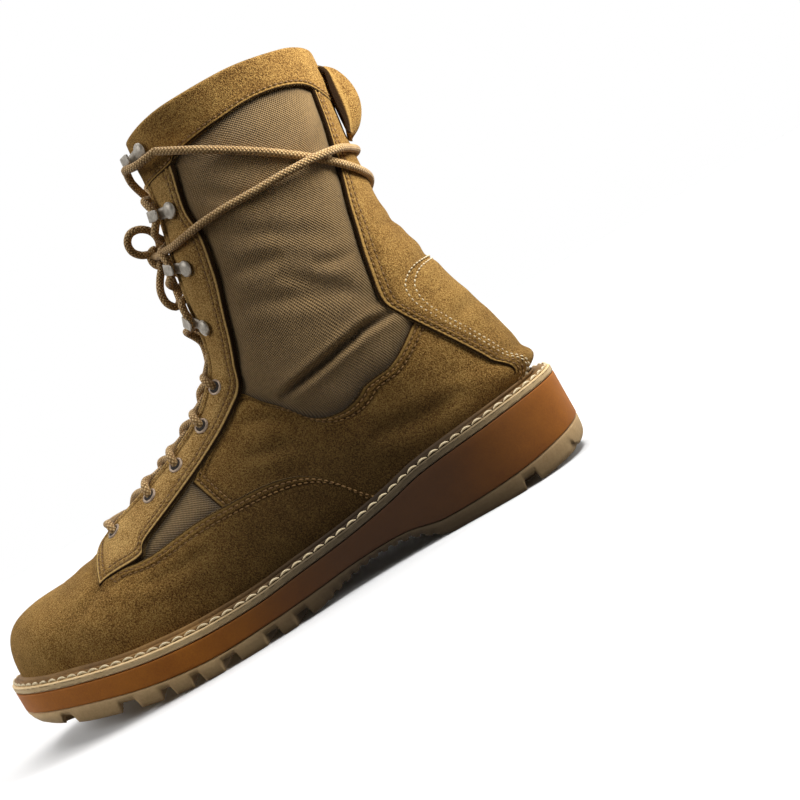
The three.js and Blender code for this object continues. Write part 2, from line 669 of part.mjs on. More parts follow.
const draped = (rows) => rows.map(([s, out, lift]) => over(s, out, lift));

// ---------------------------------------------------------------- assembly

const finish = (colour, roughness, metalness = 0) => (
  new THREE.MeshStandardMaterial({ color: colour, roughness, metalness })
);
const suede = finish(0x8a6532, 0.95);
const tan = finish(0xb59b6a, 0.7);
const steel = finish(0x8f8880, 0.4, 0.9);
const lace = finish(0x7a5c34, 0.8);

const boot = new THREE.Group();
const add = (name, geometry, material) => {
  const mesh = new THREE.Mesh(geometry, material);
  mesh.name = name;
  boot.add(mesh);
  return mesh;
};

add('outsole', outsole(), tan.clone());
add('midsole', wedge(), finish(0x9c5a24, 0.75));
add('midsole_strip', strip(), finish(0xc4a878, 0.7));
add('welt', welt(), finish(0x8c7444, 0.6));
add('insole', insole(), finish(0x6b5a3c, 0.9));
add('upper', upper(), suede.clone());
add('collar', collar(), suede.clone());
add('tongue', tongue(), finish(0x80693f, 0.85));
add('pull_loop', pullLoop(), finish(0x7a5c34, 0.9));

LACING.forEach((_, row) => {
  for (const side of [1, -1]) {
    const where = side > 0 ? 'lateral' : 'medial';
    const onHook = row >= EYELET_ROWS;
    const number = onHook ? row - EYELET_ROWS + 1 : row + 1;
    const name = `${onHook ? 'hook' : 'eyelet'}_${where}_${number}`;
    const lift = row === LACING.length - 1 ? COLLAR_PROUD : 0;
    const mesh = add(name, onHook ? hook() : eyelet(), steel.clone());
    mesh.applyMatrix4(seat(row, side, lift));
  }
});

for (let row = 0; row + 1 < LACING.length; row += 1) {
  const strands = row === 0 ? crossing(row).add(lowestBar()) : crossing(row);
  add(`lace_crossing_${row + 1}`, geometryOf(strands), lace.clone());
}
add('lace_knot', knot(), lace.clone());
add('lace_wrap_lateral', wrap(WRAP_FROM_LATERAL, new THREE.Vector3(137.4, -7.6, 180)), lace.clone());
add('lace_wrap_medial', wrap(WRAP_FROM_MEDIAL, new THREE.Vector3(137.4, 7.6, 180)), lace.clone());
add('lace_loop_upper', cord(spatial(UPPER_LOOP), CORD_SIDES, LACE), lace.clone());
add('lace_loop_lower', cord(spatial(LOWER_LOOP), CORD_SIDES, LACE), lace.clone());
add('lace_end_long', cord(draped(LONG_END)), lace.clone());
add('lace_end_short', cord(draped(SHORT_END)), lace.clone());

boot.position.set(-SOLE_LENGTH / 2, 0, 0);

export default boot;
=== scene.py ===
# Looks of a left combat boot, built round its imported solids. Shapes are worked out in
# millimetres from the back of the heel ("along", outer side positive, up), and put into
# the frame in metres by place().
import math

import bpy
import numpy as np
from mathutils import Matrix, Vector


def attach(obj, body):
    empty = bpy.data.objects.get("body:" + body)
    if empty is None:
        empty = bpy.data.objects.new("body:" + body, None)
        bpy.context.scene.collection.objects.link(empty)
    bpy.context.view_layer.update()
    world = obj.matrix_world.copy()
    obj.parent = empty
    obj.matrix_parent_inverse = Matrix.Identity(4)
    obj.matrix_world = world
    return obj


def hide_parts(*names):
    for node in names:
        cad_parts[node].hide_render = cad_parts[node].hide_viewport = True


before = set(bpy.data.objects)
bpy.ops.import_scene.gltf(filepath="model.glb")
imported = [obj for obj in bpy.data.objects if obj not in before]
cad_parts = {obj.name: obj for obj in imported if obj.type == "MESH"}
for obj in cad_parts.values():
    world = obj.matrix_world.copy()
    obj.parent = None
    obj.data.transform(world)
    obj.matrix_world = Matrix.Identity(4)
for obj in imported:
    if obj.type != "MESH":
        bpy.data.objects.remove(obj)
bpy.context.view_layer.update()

# -------------------- sizes

# The sole's length, the height of its pale layer and the depth of its tread; the welt's height
# and its lip above that.
SOLE_LENGTH = 310.0
STRIP = 3.8
LUG = 4.6
WELT = 1.6
WELT_LIP = 3.0
# The footbed's thickness, how far the collar stands out, the tongue's depth below the upper
# and its thickness, the lace's diameter.
INSOLE = 4.0
COLLAR_PROUD = 2.0
TONGUE_DEPTH = 4.2
TONGUE = 3.2
LACE = 3.8

# along, lateral, medial, top, wedge, ground
SOLE = np.array([
    [0, 0, 0, 42.5, 15.5, 6.5], [4, 16, 16, 42.3, 14.6, 5.0], [14, 28, 28, 41.6, 12.8, 2.6],
    [40, 38.5, 38, 39.3, 9.4, 0], [80, 38.2, 37.5, 34.8, 7.6, 0], [100, 39, 36.5, 30.2, 11.2, 7.2],
    [124, 41.5, 36.5, 26.2, 11.2, 7.2], [150, 47.5, 40.5, 23.8, 9.4, 1.2], [172, 53, 46, 22.0, 8.4, 0],
    [200, 57, 52, 22.2, 8.0, 0], [230, 55.5, 57, 25.0, 10.8, 2.4], [262, 46.5, 54.5, 30.2, 16.4, 7.8],
    [288, 31.5, 44, 34.6, 20.8, 12.0], [303, 13, 29, 36.2, 22.4, 13.8], [310, -8, 8, 36.6, 22.8, 14.2],
])
LATERAL, MEDIAL, TOP, WEDGE, GROUND = 1, 2, 3, 4, 5

# Sections of the upper from toe box to rim: crest (fx fz), bend (kx kz), back (bx bz), half
# widths, sideways shift, widest place, fullness of front and back.
UPPER = np.array([
    [262, 66.3, 262, 42, 262, 20, 43.0, 42.0, -4.5, 0.68, 2.35, 3.0],
    [240, 71.0, 240, 43, 240, 16, 48.0, 48.0, -1.5, 0.70, 2.15, 3.0],
    [217, 82.5, 215, 46, 212, 12, 48.5, 45.5, 0.0, 0.72, 1.90, 3.0],
    [196, 91.0, 190, 50, 184, 12, 45.5, 40.5, 0.0, 0.72, 1.85, 3.0],
    [176, 100.5, 165, 54, 154, 12, 40.5, 35.0, -0.5, 0.72, 1.85, 3.0],
    [161, 109.3, 141, 58, 118, 14, 36.0, 31.5, -1.0, 0.70, 1.85, 3.0],
    [151, 118.5, 122, 56, 70, 14, 34.0, 31.5, -1.0, 0.68, 1.90, 2.6],
    [144.5, 127.5, 108, 46, 9.5, 45, 33.5, 32.5, -1.0, 0.66, 1.95, 2.7],
    [141, 137, 106, 64, 9, 58, 34.0, 33.0, -1.0, 0.64, 2.00, 2.5],
    [139.5, 145.5, 103, 82, 11.5, 71.5, 34.5, 33.5, -1.0, 0.61, 2.05, 2.3],
    [138.5, 154.5, 100, 101, 16.5, 87, 35.0, 34.0, -1.0, 0.58, 2.10, 2.15],
    [136.5, 165, 96, 124, 22.5, 106, 35.5, 34.5, -1.0, 0.55, 2.15, 2.05],
    [134.5, 176, 92, 146, 29, 127, 36.5, 35.5, -1.0, 0.52, 2.20, 2.0],
    [132, 188, 88, 168, 34, 149, 38.0, 37.0, -1.0, 0.50, 2.20, 2.05],
    [129.5, 200, 84, 187, 33.5, 172, 39.5, 38.5, -1.0, 0.50, 2.20, 2.1],
    [127, 213, 80, 206, 31, 198, 40.5, 39.5, -1.0, 0.50, 2.20, 2.1],
    [125, 232, 77, 233, 28, 232, 41.0, 40.0, -1.0, 0.50, 2.20, 2.1],
])
LAST_ROW = len(UPPER) - 1
NOSE_ALONG, NOSE_HEIGHT, NOSE_INWARD, NOSE_PLAN, NOSE_SIDE = 302.0, 43.0, 3.5, 1.75, 2.6

# section, distance out from the crest, half the throat, lift of the crossing above the row
LACING = np.array([
    [1.89, 21, 12, 1], [2.94, 23, 13.5, 1], [3.76, 22.5, 13, 1], [4.86, 19.5, 11, 1],
    [6.25, 17.5, 9.5, 1], [9.27, 19.5, 9.5, -1.8], [11.71, 25, 13.5, -1.8],
    [13.64, 30, 17.5, 1], [15.48, 28.5, 17.5, 1],
])
EYELET_ROWS = 5
TOP_ROW = len(LACING) - 1
# The throat's first section, half its width there, and its last section.
THROAT_START = 1.4
THROAT_TIP = 8.0
THROAT_END = LACING[TOP_ROW, 0]

# -------------------- curves and surfaces


def place(points):
    """Design millimetres to frame metres: the middle of the sole goes to the origin."""
    return (np.asarray(points, float) - [SOLE_LENGTH / 2, 0, 0]) / 1000


def run_of(points):
    """Length run through by a line of points."""
    return np.concatenate([[0], np.cumsum(np.linalg.norm(np.diff(points, axis=0), axis=1))])


def read_line(line, keys, at):
    """A line's points at places between its own, whose places are the keys."""
    return np.stack([np.interp(at, keys, column) for column in line.T], axis=-1)


def centripetal_pieces(p0, p1, p2, p3, steps):
    """Centripetal Catmull-Rom from the points p1 to the points p2, with p0 before them and p3
    after them, as one line with a number of steps for each piece."""
    d0, d1, d2 = (np.sqrt(np.linalg.norm(b - a, axis=1))[:, None]
                  for a, b in ((p0, p1), (p1, p2), (p2, p3)))
    leave = d1 * ((p1 - p0) / d0 - (p2 - p0) / (d0 + d1) + (p2 - p1) / d1)
    arrive = d1 * ((p2 - p1) / d1 - (p3 - p1) / (d1 + d2) + (p3 - p2) / d2)
    t = np.linspace(0, 1, steps, endpoint=False)[None, :, None]
    a, b, m, n = p1[:, None], p2[:, None], leave[:, None], arrive[:, None]
    return (a + m * t + (3 * b - 3 * a - 2 * m - n) * t ** 2
            + (2 * a - 2 * b + m + n) * t ** 3).reshape(-1, p1.shape[1])


def centripetal(points, step=1.2):
    """Centripetal Catmull-Rom through points, then evened out to about one step."""
    points = np.asarray(points, float)
    padded = np.vstack([2 * points[0] - points[1], points, 2 * points[-1] - points[-2]])
    dense = centripetal_pieces(padded[:-3], padded[1:-2], padded[2:-1], padded[3:], 24)
    dense = np.vstack([dense, points[-1:]])
    gone = run_of(dense)
    return read_line(dense, gone, np.linspace(0, gone[-1], max(4, int(round(gone[-1] / step)) + 1)))


def rows_at(table, s):
    """Uniform Catmull-Rom through the rows of a table, at row numbers s."""
    last = len(table) - 1
    s = np.asarray(s, float)
    i = np.clip(np.floor(s).astype(int), 0, last - 1)
    t = (s - i)[..., None]
    padded = np.vstack([2 * table[0] - table[1], table, 2 * table[-1] - table[-2]])
    a, b, c, d = padded[i], padded[i + 1], padded[i + 2], padded[i + 3]
    return 0.5 * (2 * b + (c - a) * t + (2 * a - 5 * b + 4 * c - d) * t ** 2
                  + (3 * b - a - 3 * c + d) * t ** 3)


def column_by(keys, values, x):
    """Cubic Hermite through values at uneven keys, with slopes between neighbours."""
    last = len(keys) - 1
    x = np.clip(np.asarray(x, float), keys[0], keys[-1])
    i = np.clip(np.searchsorted(keys, x, side="left") - 1, 0, last - 1)
    lo = np.maximum(np.arange(last + 1) - 1, 0)
    hi = np.minimum(np.arange(last + 1) + 1, last)
    slope = (values[hi] - values[lo]) / (keys[hi] - keys[lo])
    step = keys[i + 1] - keys[i]
    t = (x - keys[i]) / step
    rise = t * t * (3 - 2 * t)
    return (values[i] * (1 - rise) + values[i + 1] * rise
            + step * (slope[i] * t * (1 - t) ** 2 - slope[i + 1] * t * t * (1 - t)))


def sole_at(column, x):
    """A column of the sole's table at places along the sole."""
    values = column_by(SOLE[:, 0], SOLE[:, column], x)
    return np.maximum(values, 0) if column == GROUND else values


def throat_half(s):
    """Half the throat's width at section s."""
    keys = np.concatenate([[THROAT_START], LACING[:, 0]])
    return column_by(keys, np.concatenate([[THROAT_TIP], LACING[:, 2]]), s)


def upper_point(s, u):
    """The upper's outer face. Along a section the point slides down a quadratic Bezier from
    crest to back while its width follows a superellipse; ahead of section 0 the section
    shrinks towards the nose by one superellipse in plan and another in side view."""
    s, u = np.broadcast_arrays(np.asarray(s, float), np.asarray(u, float))
    turn = np.mod(u + 3, 2) - 1
    fx, fz, kx, kz, bx, bz, lateral, medial, shift, widest, full_f, full_b = np.moveaxis(
        rows_at(UPPER, np.maximum(s, 0)), -1, 0)
    angle = np.abs(turn) * np.pi
    front = angle < np.pi / 2
    power = 2 / np.where(front, full_f, full_b)
    reach = np.abs(np.cos(angle)) ** power
    c = np.where(front, widest * (1 - reach), widest + (1 - widest) * reach)
    half = np.where(turn < 0, medial, lateral)
    width = np.sign(turn) * half * np.maximum(np.sin(angle), 0) ** power
    x = (1 - c) ** 2 * fx + 2 * c * (1 - c) * kx + c * c * bx
    z = (1 - c) ** 2 * fz + 2 * c * (1 - c) * kz + c * c * bz
    f = np.sin(np.clip(-s, 0, 1) * np.pi / 2)
    plan = np.maximum(1 - f ** NOSE_PLAN, 0) ** (1 / NOSE_PLAN)
    rise = np.maximum(1 - f ** NOSE_SIDE, 0) ** (1 / NOSE_SIDE)
    nose = s < 0
    return np.stack([
        np.where(nose, UPPER[0, 0] + (NOSE_ALONG - UPPER[0, 0]) * f, x),
        np.where(nose, shift - f * NOSE_INWARD + width * plan, shift + width),
        np.where(nose, NOSE_HEIGHT + (z - NOSE_HEIGHT) * rise, z),
    ], axis=-1)


def unit(v):
    """Vectors scaled to length one."""
    return v / np.maximum(np.linalg.norm(v, axis=-1, keepdims=True), 1e-12)


def upper_normal(s, u, step=0.004):
    """Outward normal of the upper, from the cross product of small steps round and up."""
    s, u = np.broadcast_arrays(np.asarray(s, float), np.asarray(u, float))
    round_ = upper_point(s, u + step) - upper_point(s, u - step)
    up = (upper_point(np.minimum(s + step, LAST_ROW), u)
          - upper_point(np.maximum(s - step, -1), u))
    return unit(np.cross(round_, up))


def raised(s, u, lift):
    """A point lifted off the upper along its normal."""
    lift = np.asarray(lift, float)
    return upper_point(s, u) + upper_normal(s, u) * lift[..., None]


TAPE_U = np.linspace(0, 1, 161)


def place_from_crest(s, out):
    """The place round the section that lies a distance out from the crest, by measuring
    the section's length in small steps and reading it backwards."""
    s, out = np.broadcast_arrays(np.asarray(s, float), np.asarray(out, float))
    flat_s, flat_out = s.ravel(), out.ravel()
    side = np.where(flat_out < 0, -1.0, 1.0)
    points = upper_point(flat_s[:, None], TAPE_U[None, :] * side[:, None])
    tape = np.concatenate([
        np.zeros((len(flat_s), 1)),
        np.cumsum(np.linalg.norm(np.diff(points, axis=1), axis=2), axis=1),
    ], axis=1)
    u = np.array([np.interp(abs(o), row, TAPE_U) for o, row in zip(flat_out, tape)])
    return (side * u).reshape(s.shape)


def over(s, out, lift):
    """A point above the upper, out mm from the crest."""
    return raised(s, place_from_crest(s, out), lift)


def on_surface(line):
    """A line of (section, round) as points of the upper."""
    return upper_point(line[:, 0], line[:, 1])


def smooth_line(points, count):
    """Uniform Catmull-Rom through points of (section, round), read at a number of places that
    lie evenly along it on the upper."""
    dense = rows_at(points, np.linspace(0, len(points) - 1, 24 * len(points)))
    gone = run_of(on_surface(dense))
    return read_line(dense, gone, np.linspace(0, gone[-1], count))


def sole_outline(count=520):
    """The sole's outline as a closed centripetal Catmull-Rom through the table, evened out."""
    lateral = np.stack([SOLE[:, 0], SOLE[:, LATERAL]], axis=1)
    medial = np.stack([SOLE[1:-1, 0], -SOLE[1:-1, MEDIAL]], axis=1)[::-1]
    knots = np.vstack([lateral, medial])
    dense = centripetal_pieces(*(np.roll(knots, k, axis=0) for k in (1, 0, -1, -2)), 40)
    loop = np.vstack([dense, dense[:1]])
    gone = run_of(loop)
    return read_line(loop, gone, np.linspace(0, gone[-1], count, endpoint=False))


# The outline, which way it runs, and the directions straight in from it.
OUTLINE = sole_outline()
OUTLINE_WAY = unit(np.roll(OUTLINE, -1, axis=0) - np.roll(OUTLINE, 1, axis=0))
OUTLINE_IN = np.stack([OUTLINE_WAY[:, 1], -OUTLINE_WAY[:, 0]], axis=1)


def feather_line(height, count):
    """Where the upper meets the sole, height above the sole's top: for each section the
    first place round it that lies lower, joined from toe to heel. Returns (section, round)."""
    s = np.concatenate([np.linspace(-0.995, 0, 240), np.linspace(0.01, 6, 240),
                        np.linspace(6.004, 7.2, 400)])
    u = np.linspace(0.05, 1, 400)
    p = upper_point(s[:, None], u[None, :])
    clear = p[..., 2] - sole_at(TOP, p[..., 0]) - height
    below = clear < 0
    first = np.argmax(below, axis=1)
    rows = np.flatnonzero(below.any(axis=1) & (first > 0))
    j = first[rows]
    a, b = clear[rows, j - 1], clear[rows, j]
    line = np.stack([s[rows], u[j - 1] + (u[j] - u[j - 1]) * a / (a - b)], axis=1)
    line = np.vstack([[line[0, 0] - 0.004, 1.0], line, [line[-1, 0] + 0.004, 1.0]])
    gone = run_of(on_surface(line))
    return read_line(line, gone, np.linspace(0, gone[-1], count))


FEATHER = feather_line(0.6, 600)


def feather_at(s):
    """How far round section s the upper reaches before it meets the sole."""
    return np.interp(s, FEATHER[:, 0], FEATHER[:, 1])


# -------------------- meshes

MATERIALS = {}


def grid_faces(rows, cols, close_rows=False, close_cols=False):
    """Quads of a grid of rows by cols vertices, joined round where it closes."""
    i = np.arange(rows if close_rows else rows - 1)[:, None]
    j = np.arange(cols if close_cols else cols - 1)[None, :]
    i2, j2 = (i + 1) % rows, (j + 1) % cols
    return np.stack([i * cols + j, i * cols + j2, i2 * cols + j2, i2 * cols + j],
                    axis=-1).reshape(-1, 4)


def make_mesh(name, points, faces, material, uv=None, fields=None, shade_smooth=True):
    """An object from design points (mm) and quads or triangles, linked to the scene."""
    mesh = bpy.data.meshes.new(name)
    points = place(np.asarray(points, float).reshape(-1, 3))
    groups = [np.asarray(f, np.int32) for f in (faces if isinstance(faces, list) else [faces])]
    groups = [f for f in groups if len(f)]
    mesh.vertices.add(len(points))
    mesh.vertices.foreach_set("co", points.ravel().astype(np.float32))
    corners = np.concatenate([f.ravel() for f in groups])
    sizes = np.concatenate([np.full(len(f), f.shape[1], np.int32) for f in groups])
    mesh.loops.add(len(corners))
    mesh.loops.foreach_set("vertex_index", corners)
    mesh.polygons.add(len(sizes))
    mesh.polygons.foreach_set("loop_start", np.concatenate([[0], np.cumsum(sizes)[:-1]]).astype(np.int32))
    mesh.update(calc_edges=True)
    mesh.validate()
    if uv is not None:
        layer = mesh.uv_layers.new(name="UVMap")
        layer.data.foreach_set("uv", np.asarray(uv, np.float32).reshape(-1, 2)[corners].ravel())
    for key, values in (fields or {}).items():
        attribute = mesh.attributes.new(key, "FLOAT", "POINT")
        attribute.data.foreach_set("value", np.asarray(values, np.float32).ravel())
    mesh.polygons.foreach_set("use_smooth", np.full(len(sizes), shade_smooth))
    mesh.materials.append(MATERIALS[material])
    obj = bpy.data.objects.new(name, mesh)
    bpy.context.scene.collection.objects.link(obj)
    return obj


def finish_piece(obj, slot, *nodes):
    """Ties a piece to the boot's one body and hides the solids that it stands for. slot is not used."""
    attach(obj, "root")
    if nodes:
        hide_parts(*nodes)
    return obj


def facing(points, faces, outward):
    """Faces turned so that on the whole they look along the outward vectors."""
    a, b, c = (points[faces[:, k]] for k in range(3))
    look = (np.cross(b - a, c - a) * outward[faces[:, 0]]).sum()
    return faces if look > 0 else faces[:, ::-1]


def outside_out(points, faces):
    """Faces of a closed body turned so that it has a positive volume."""
    volume = 0.0
    for k in range(1, faces.shape[1] - 1):
        a, b, c = points[faces[:, 0]], points[faces[:, k]], points[faces[:, k + 1]]
        volume += (a * np.cross(b, c)).sum()
    return faces if volume > 0 else faces[:, ::-1]


def tube(path, radius, sides):
    """Points, quads, uv and triangles of a round cord along a path: rings turned without
    twist, each ring kept square to the path. radius may vary along it."""
    path = np.asarray(path, float)
    tangent = unit(np.gradient(path, axis=0))
    radius = np.broadcast_to(radius, len(path))
    normal = np.zeros_like(path)
    first = np.cross(tangent[0], [0, 0, 1.0])
    if np.linalg.norm(first) < 0.2:
        first = np.cross(tangent[0], [0, 1.0, 0])
    normal[0] = unit(first)
    for k in range(1, len(path)):
        carried = normal[k - 1] - tangent[k] * (normal[k - 1] @ tangent[k])
        normal[k] = unit(carried)
    side = np.cross(tangent, normal)
    angle = np.linspace(0, 2 * np.pi, sides, endpoint=False)
    ring = (np.cos(angle)[None, :, None] * normal[:, None]
            + np.sin(angle)[None, :, None] * side[:, None])
    points = path[:, None] + ring * radius[:, None, None]
    faces = grid_faces(len(path), sides, close_cols=True)
    uv = np.stack(np.broadcast_arrays(np.minimum(angle, 2 * np.pi - angle)[None, :] / np.pi,
                                      run_of(path)[:, None] / 10.0), axis=-1).reshape(-1, 2)
    count = len(path) * sides
    points = np.vstack([points.reshape(-1, 3), path[:1], path[-1:]])
    uv = np.vstack([uv, uv[:1], uv[-1:]])
    j = np.arange(sides)
    near = np.stack([np.full(sides, count), (j + 1) % sides, j], axis=1)
    base = (len(path) - 1) * sides
    far = np.stack([np.full(sides, count + 1), base + j, base + (j + 1) % sides], axis=1)
    return points, outside_out(points, faces), uv, np.vstack([near, far])


def tube_piece(name, paths, radius, material, sides=14):
    """One object holding a cord along each of the paths."""
    all_points, quads, tris, uvs = [], [], [], []
    start = 0
    for path in paths:
        points, faces, uv, caps = tube(path, radius, sides)
        all_points.append(points)
        quads.append(faces + start)
        tris.append(caps + start)
        uvs.append(uv)
        start += len(points)
    return make_mesh(name, np.vstack(all_points), [np.vstack(quads), np.vstack(tris)], material,
                     uv=np.vstack(uvs))


def slab(face, back):
    """Points and quads of a body from the rows of its face and of its back, joined at both
    sides, with the body's count of rows and of points in a row. Its ends stay open."""
    loops = np.concatenate([face, back[:, ::-1]], axis=1)
    points = loops.reshape(-1, 3)
    shape = loops.shape[:2]
    return points, outside_out(points, grid_faces(*shape, close_cols=True)), shape


def slab_end(points, shape, row, look):
    """Quads that close such a body at its first or last row, looking one way."""
    rows, cols = shape
    base = row % rows * cols
    j = np.arange(cols // 2 - 1)
    cap = np.stack([base + j, base + j + 1, base + cols - 2 - j, base + cols - 1 - j], axis=1)
    return facing(points, cap, np.tile(look, (len(points), 1)))


# -------------------- camera

# The camera's place in design millimetres, its angles in degrees and its focal length.
CAMERA_AT = np.array([66.0, 503.0, 89.0])
CAMERA_YAW, CAMERA_PITCH, CAMERA_ROLL = 0.72, 2.98, -29.89
CAMERA_LENS = 46.27


def set_camera():
    """A camera that looks along yaw and pitch and is rolled about that line."""
    yaw, pitch, roll = (math.radians(v) for v in (CAMERA_YAW, CAMERA_PITCH, CAMERA_ROLL))
    ahead = np.array([math.sin(yaw) * math.cos(pitch), -math.cos(yaw) * math.cos(pitch), -math.sin(pitch)])
    level = unit(np.cross(ahead, [0, 0, 1.0]))
    above = np.cross(level, ahead)
    right = level * math.cos(roll) + above * math.sin(roll)
    up = above * math.cos(roll) - level * math.sin(roll)
    camera = bpy.data.objects.new("camera", bpy.data.cameras.new("camera"))
    camera.data.lens = CAMERA_LENS
    camera.data.sensor_width = 36
    camera.data.clip_start = 0.01
    bpy.context.scene.collection.objects.link(camera)
    at = place(CAMERA_AT)
    camera.matrix_world = Matrix([
        [right[0], up[0], -ahead[0], at[0]], [right[1], up[1], -ahead[1], at[1]],
        [right[2], up[2], -ahead[2], at[2]], [0, 0, 0, 1],
    ])
    bpy.context.scene.camera = camera


set_camera()

# -------------------- finishes


class Field:
    """A shader socket read as a number. Arithmetic on it adds Math nodes."""

    def __init__(self, finish, socket):
        self.finish, self.socket = finish, socket

    def math(self, operation, *others):
        values = dict(enumerate((self,) + others))
        return self.finish.node("ShaderNodeMath", {"operation": operation}, values)

    def __add__(self, other):
        return self.math("ADD", other)

    def __sub__(self, other):
        return self.math("SUBTRACT", other)

    def __mul__(self, other):
        return self.math("MULTIPLY", other)

    def __rsub__(self, other):
        return self.finish.node("ShaderNodeMath", {"operation": "SUBTRACT"}, {0: other, 1: self})

    def sine(self):
        return self.math("SINE")

    def size(self):
        return self.math("ABSOLUTE")

    def power(self, exponent):
        return self.math("POWER", exponent)

    def between(self, low, high):
        """0 below low, 1 above high, smooth in between."""
        return self.finish.node("ShaderNodeMapRange", {"interpolation_type": "SMOOTHSTEP"},
                                {"Value": self, "From Min": low, "From Max": high})


# The deep shade low on the boot: its middle along and up in object millimetres, its middle
# along on the sole, how fast it falls along and up, where it ends, and its screen colour.
SHADE_ALONG, SHADE_UP = -32.0, 22.0
SOLE_SHADE_ALONG = -48.0
SHADE_FALL_ALONG, SHADE_FALL_UP = 0.0105, 0.012
SHADE_END = 1.3
SHADE_TONE = (22, 13, 5)


class Finish:
    """A material whose nodes are added by one method."""

    def __init__(self, name, roughness=0.8, **constants):
        self.material = bpy.data.materials.new(name)
        self.material.use_nodes = True
        self.tree = self.material.node_tree
        self.tree.nodes.clear()
        MATERIALS[name] = self.material
        self.shader = self.tree.nodes.new("ShaderNodeBsdfPrincipled")
        output = self.tree.nodes.new("ShaderNodeOutputMaterial")
        self.tree.links.new(self.shader.outputs[0], output.inputs[0])
        self.shader.inputs["Roughness"].default_value = roughness
        for key, value in constants.items():
            self.shader.inputs[key.replace("_", " ")].default_value = value

    def node(self, kind, settings=None, inputs=None, output=0):
        """Adds a node with its settings, then its sockets' values or links; returns an output."""
        made = self.tree.nodes.new(kind)
        for key, value in (settings or {}).items():
            if key == "stops":
                ramp = made.color_ramp
                for k, (at, colour) in enumerate(value):
                    stop = ramp.elements[k] if k < 2 else ramp.elements.new(at)
                    stop.position, stop.color = at, colour
            else:
                setattr(made, key, value)
        for key, value in (inputs or {}).items():
            if isinstance(value, Field):
                self.tree.links.new(value.socket, made.inputs[key])
            else:
                made.inputs[key].default_value = value
        return Field(self, made.outputs[output])

    def field(self, name):
        """A number kept on the piece's vertices."""
        return self.node("ShaderNodeAttribute", {"attribute_name": name}, output="Fac")

    def millimetres(self):
        """Object coordinates in millimetres."""
        spot = self.node("ShaderNodeTexCoord", output="Object")
        return self.node("ShaderNodeVectorMath", {"operation": "SCALE"}, {0: spot, "Scale": 1000.0})

    def parts(self, vector, *axes):
        """The chosen parts of a vector, 0 to 2, as numbers."""
        return [self.node("ShaderNodeSeparateXYZ", None, {0: vector}, output=k) for k in axes]

    def across(self):
        """The piece's own surface coordinates as two numbers."""
        return self.parts(self.node("ShaderNodeTexCoord", output="UV"), 0, 1)

    def noise(self, at, size, detail=3.0, roughness=0.6):
        """Soft noise with lumps of a size in the units of its coordinates."""
        return self.node("ShaderNodeTexNoise", None,
                         {"Vector": at, "Scale": 1 / size, "Detail": detail, "Roughness": roughness})

    def tones(self, value, *stops):
        """A colour ramp."""
        return self.node("ShaderNodeValToRGB", {"stops": stops}, {"Fac": value})

    def mixed(self, factor, a, b, blend="MIX"):
        """Two colours mixed."""
        return self.node("ShaderNodeMix", {"data_type": "RGBA", "blend_type": blend},
                         {0: factor, 6: a, 7: b}, output=2)

    def shadowed(self, base, most, middle=SHADE_ALONG):
        """A colour that sinks to near black low down round the middle of the boot's length, by
        the squared distance from there."""
        x, z = self.parts(self.millimetres(), 0, 2)
        away = ((x - middle) * SHADE_FALL_ALONG).power(2) + ((z - SHADE_UP) * SHADE_FALL_UP).power(2)
        return self.mixed((1 - away.between(0.0, SHADE_END)) * most, base, tone(*SHADE_TONE))

    def colour(self, value):
        self.tree.links.new(value.socket, self.shader.inputs["Base Color"])

    def rough(self, value):
        self.tree.links.new(value.socket, self.shader.inputs["Roughness"])

    def bump(self, height, depth_mm, strength=1.0):
        """A relief of the given depth, in millimetres."""
        made = self.node("ShaderNodeBump", None,
                         {"Height": height, "Distance": depth_mm / 1000, "Strength": strength})
        self.tree.links.new(made.socket, self.shader.inputs["Normal"])


def tone(red, green, blue):
    """A screen colour, 0 to 255, as a linear colour."""
    return tuple(((c / 255 + 0.055) / 1.055) ** 2.4 if c > 10 else c / 255 / 12.92
                 for c in (red, green, blue)) + (1.0,)


def suede_finish(name, dark, middle, light, edge):
    """Nap: fine speckle over soft clouds of brushed pile. The field named edge falls from 1
    at a border to 0 four millimetres in: the cut is dark, partly the edge's own dark brown and
    partly painted shadow, with a painted highlight on the lip beside it. The field named shade
    puts painted shade in stitch grooves, folds and against the sole."""
    made = Finish(name, roughness=0.95, Sheen_Weight=0.6, Sheen_Roughness=0.35,
                  Sheen_Tint=tone(232, 192, 122), Specular_IOR_Level=0.1)
    at = made.millimetres()
    clouds = made.noise(at, 34, 3)
    brushed = made.noise(at, 9, 3)
    nap = made.noise(at, 0.7, 2, 0.7)
    fine = made.noise(at, 0.4, 2, 0.8)
    value = clouds * 0.35 + brushed * 0.35 + nap * 1.55 + fine * 1.4 - 1.32
    base = made.tones(value, (0.22, dark), (0.5, middle), (0.78, light))
    border = made.field("edge")
    # Painted highlight on the lip beside the cut edge.
    lip = border.between(0.38, 0.55) * (1 - border.between(0.66, 0.8))
    base = made.mixed(lip * 0.6, base, light)
    # The cut edge: its own dark brown, and painted shadow beside it.
    base = made.mixed(border.between(0.68, 0.84), base, edge)
    # Painted shade in stitch grooves, folds and against the sole.
    base = made.mixed(made.field("shade"), base, edge)
    # Painted deep shade low round the middle of the boot.
    made.colour(made.shadowed(base, 0.8))
    made.bump(nap * 1.0 + fine * 0.6 + brushed * 0.6, 0.8, 0.85)


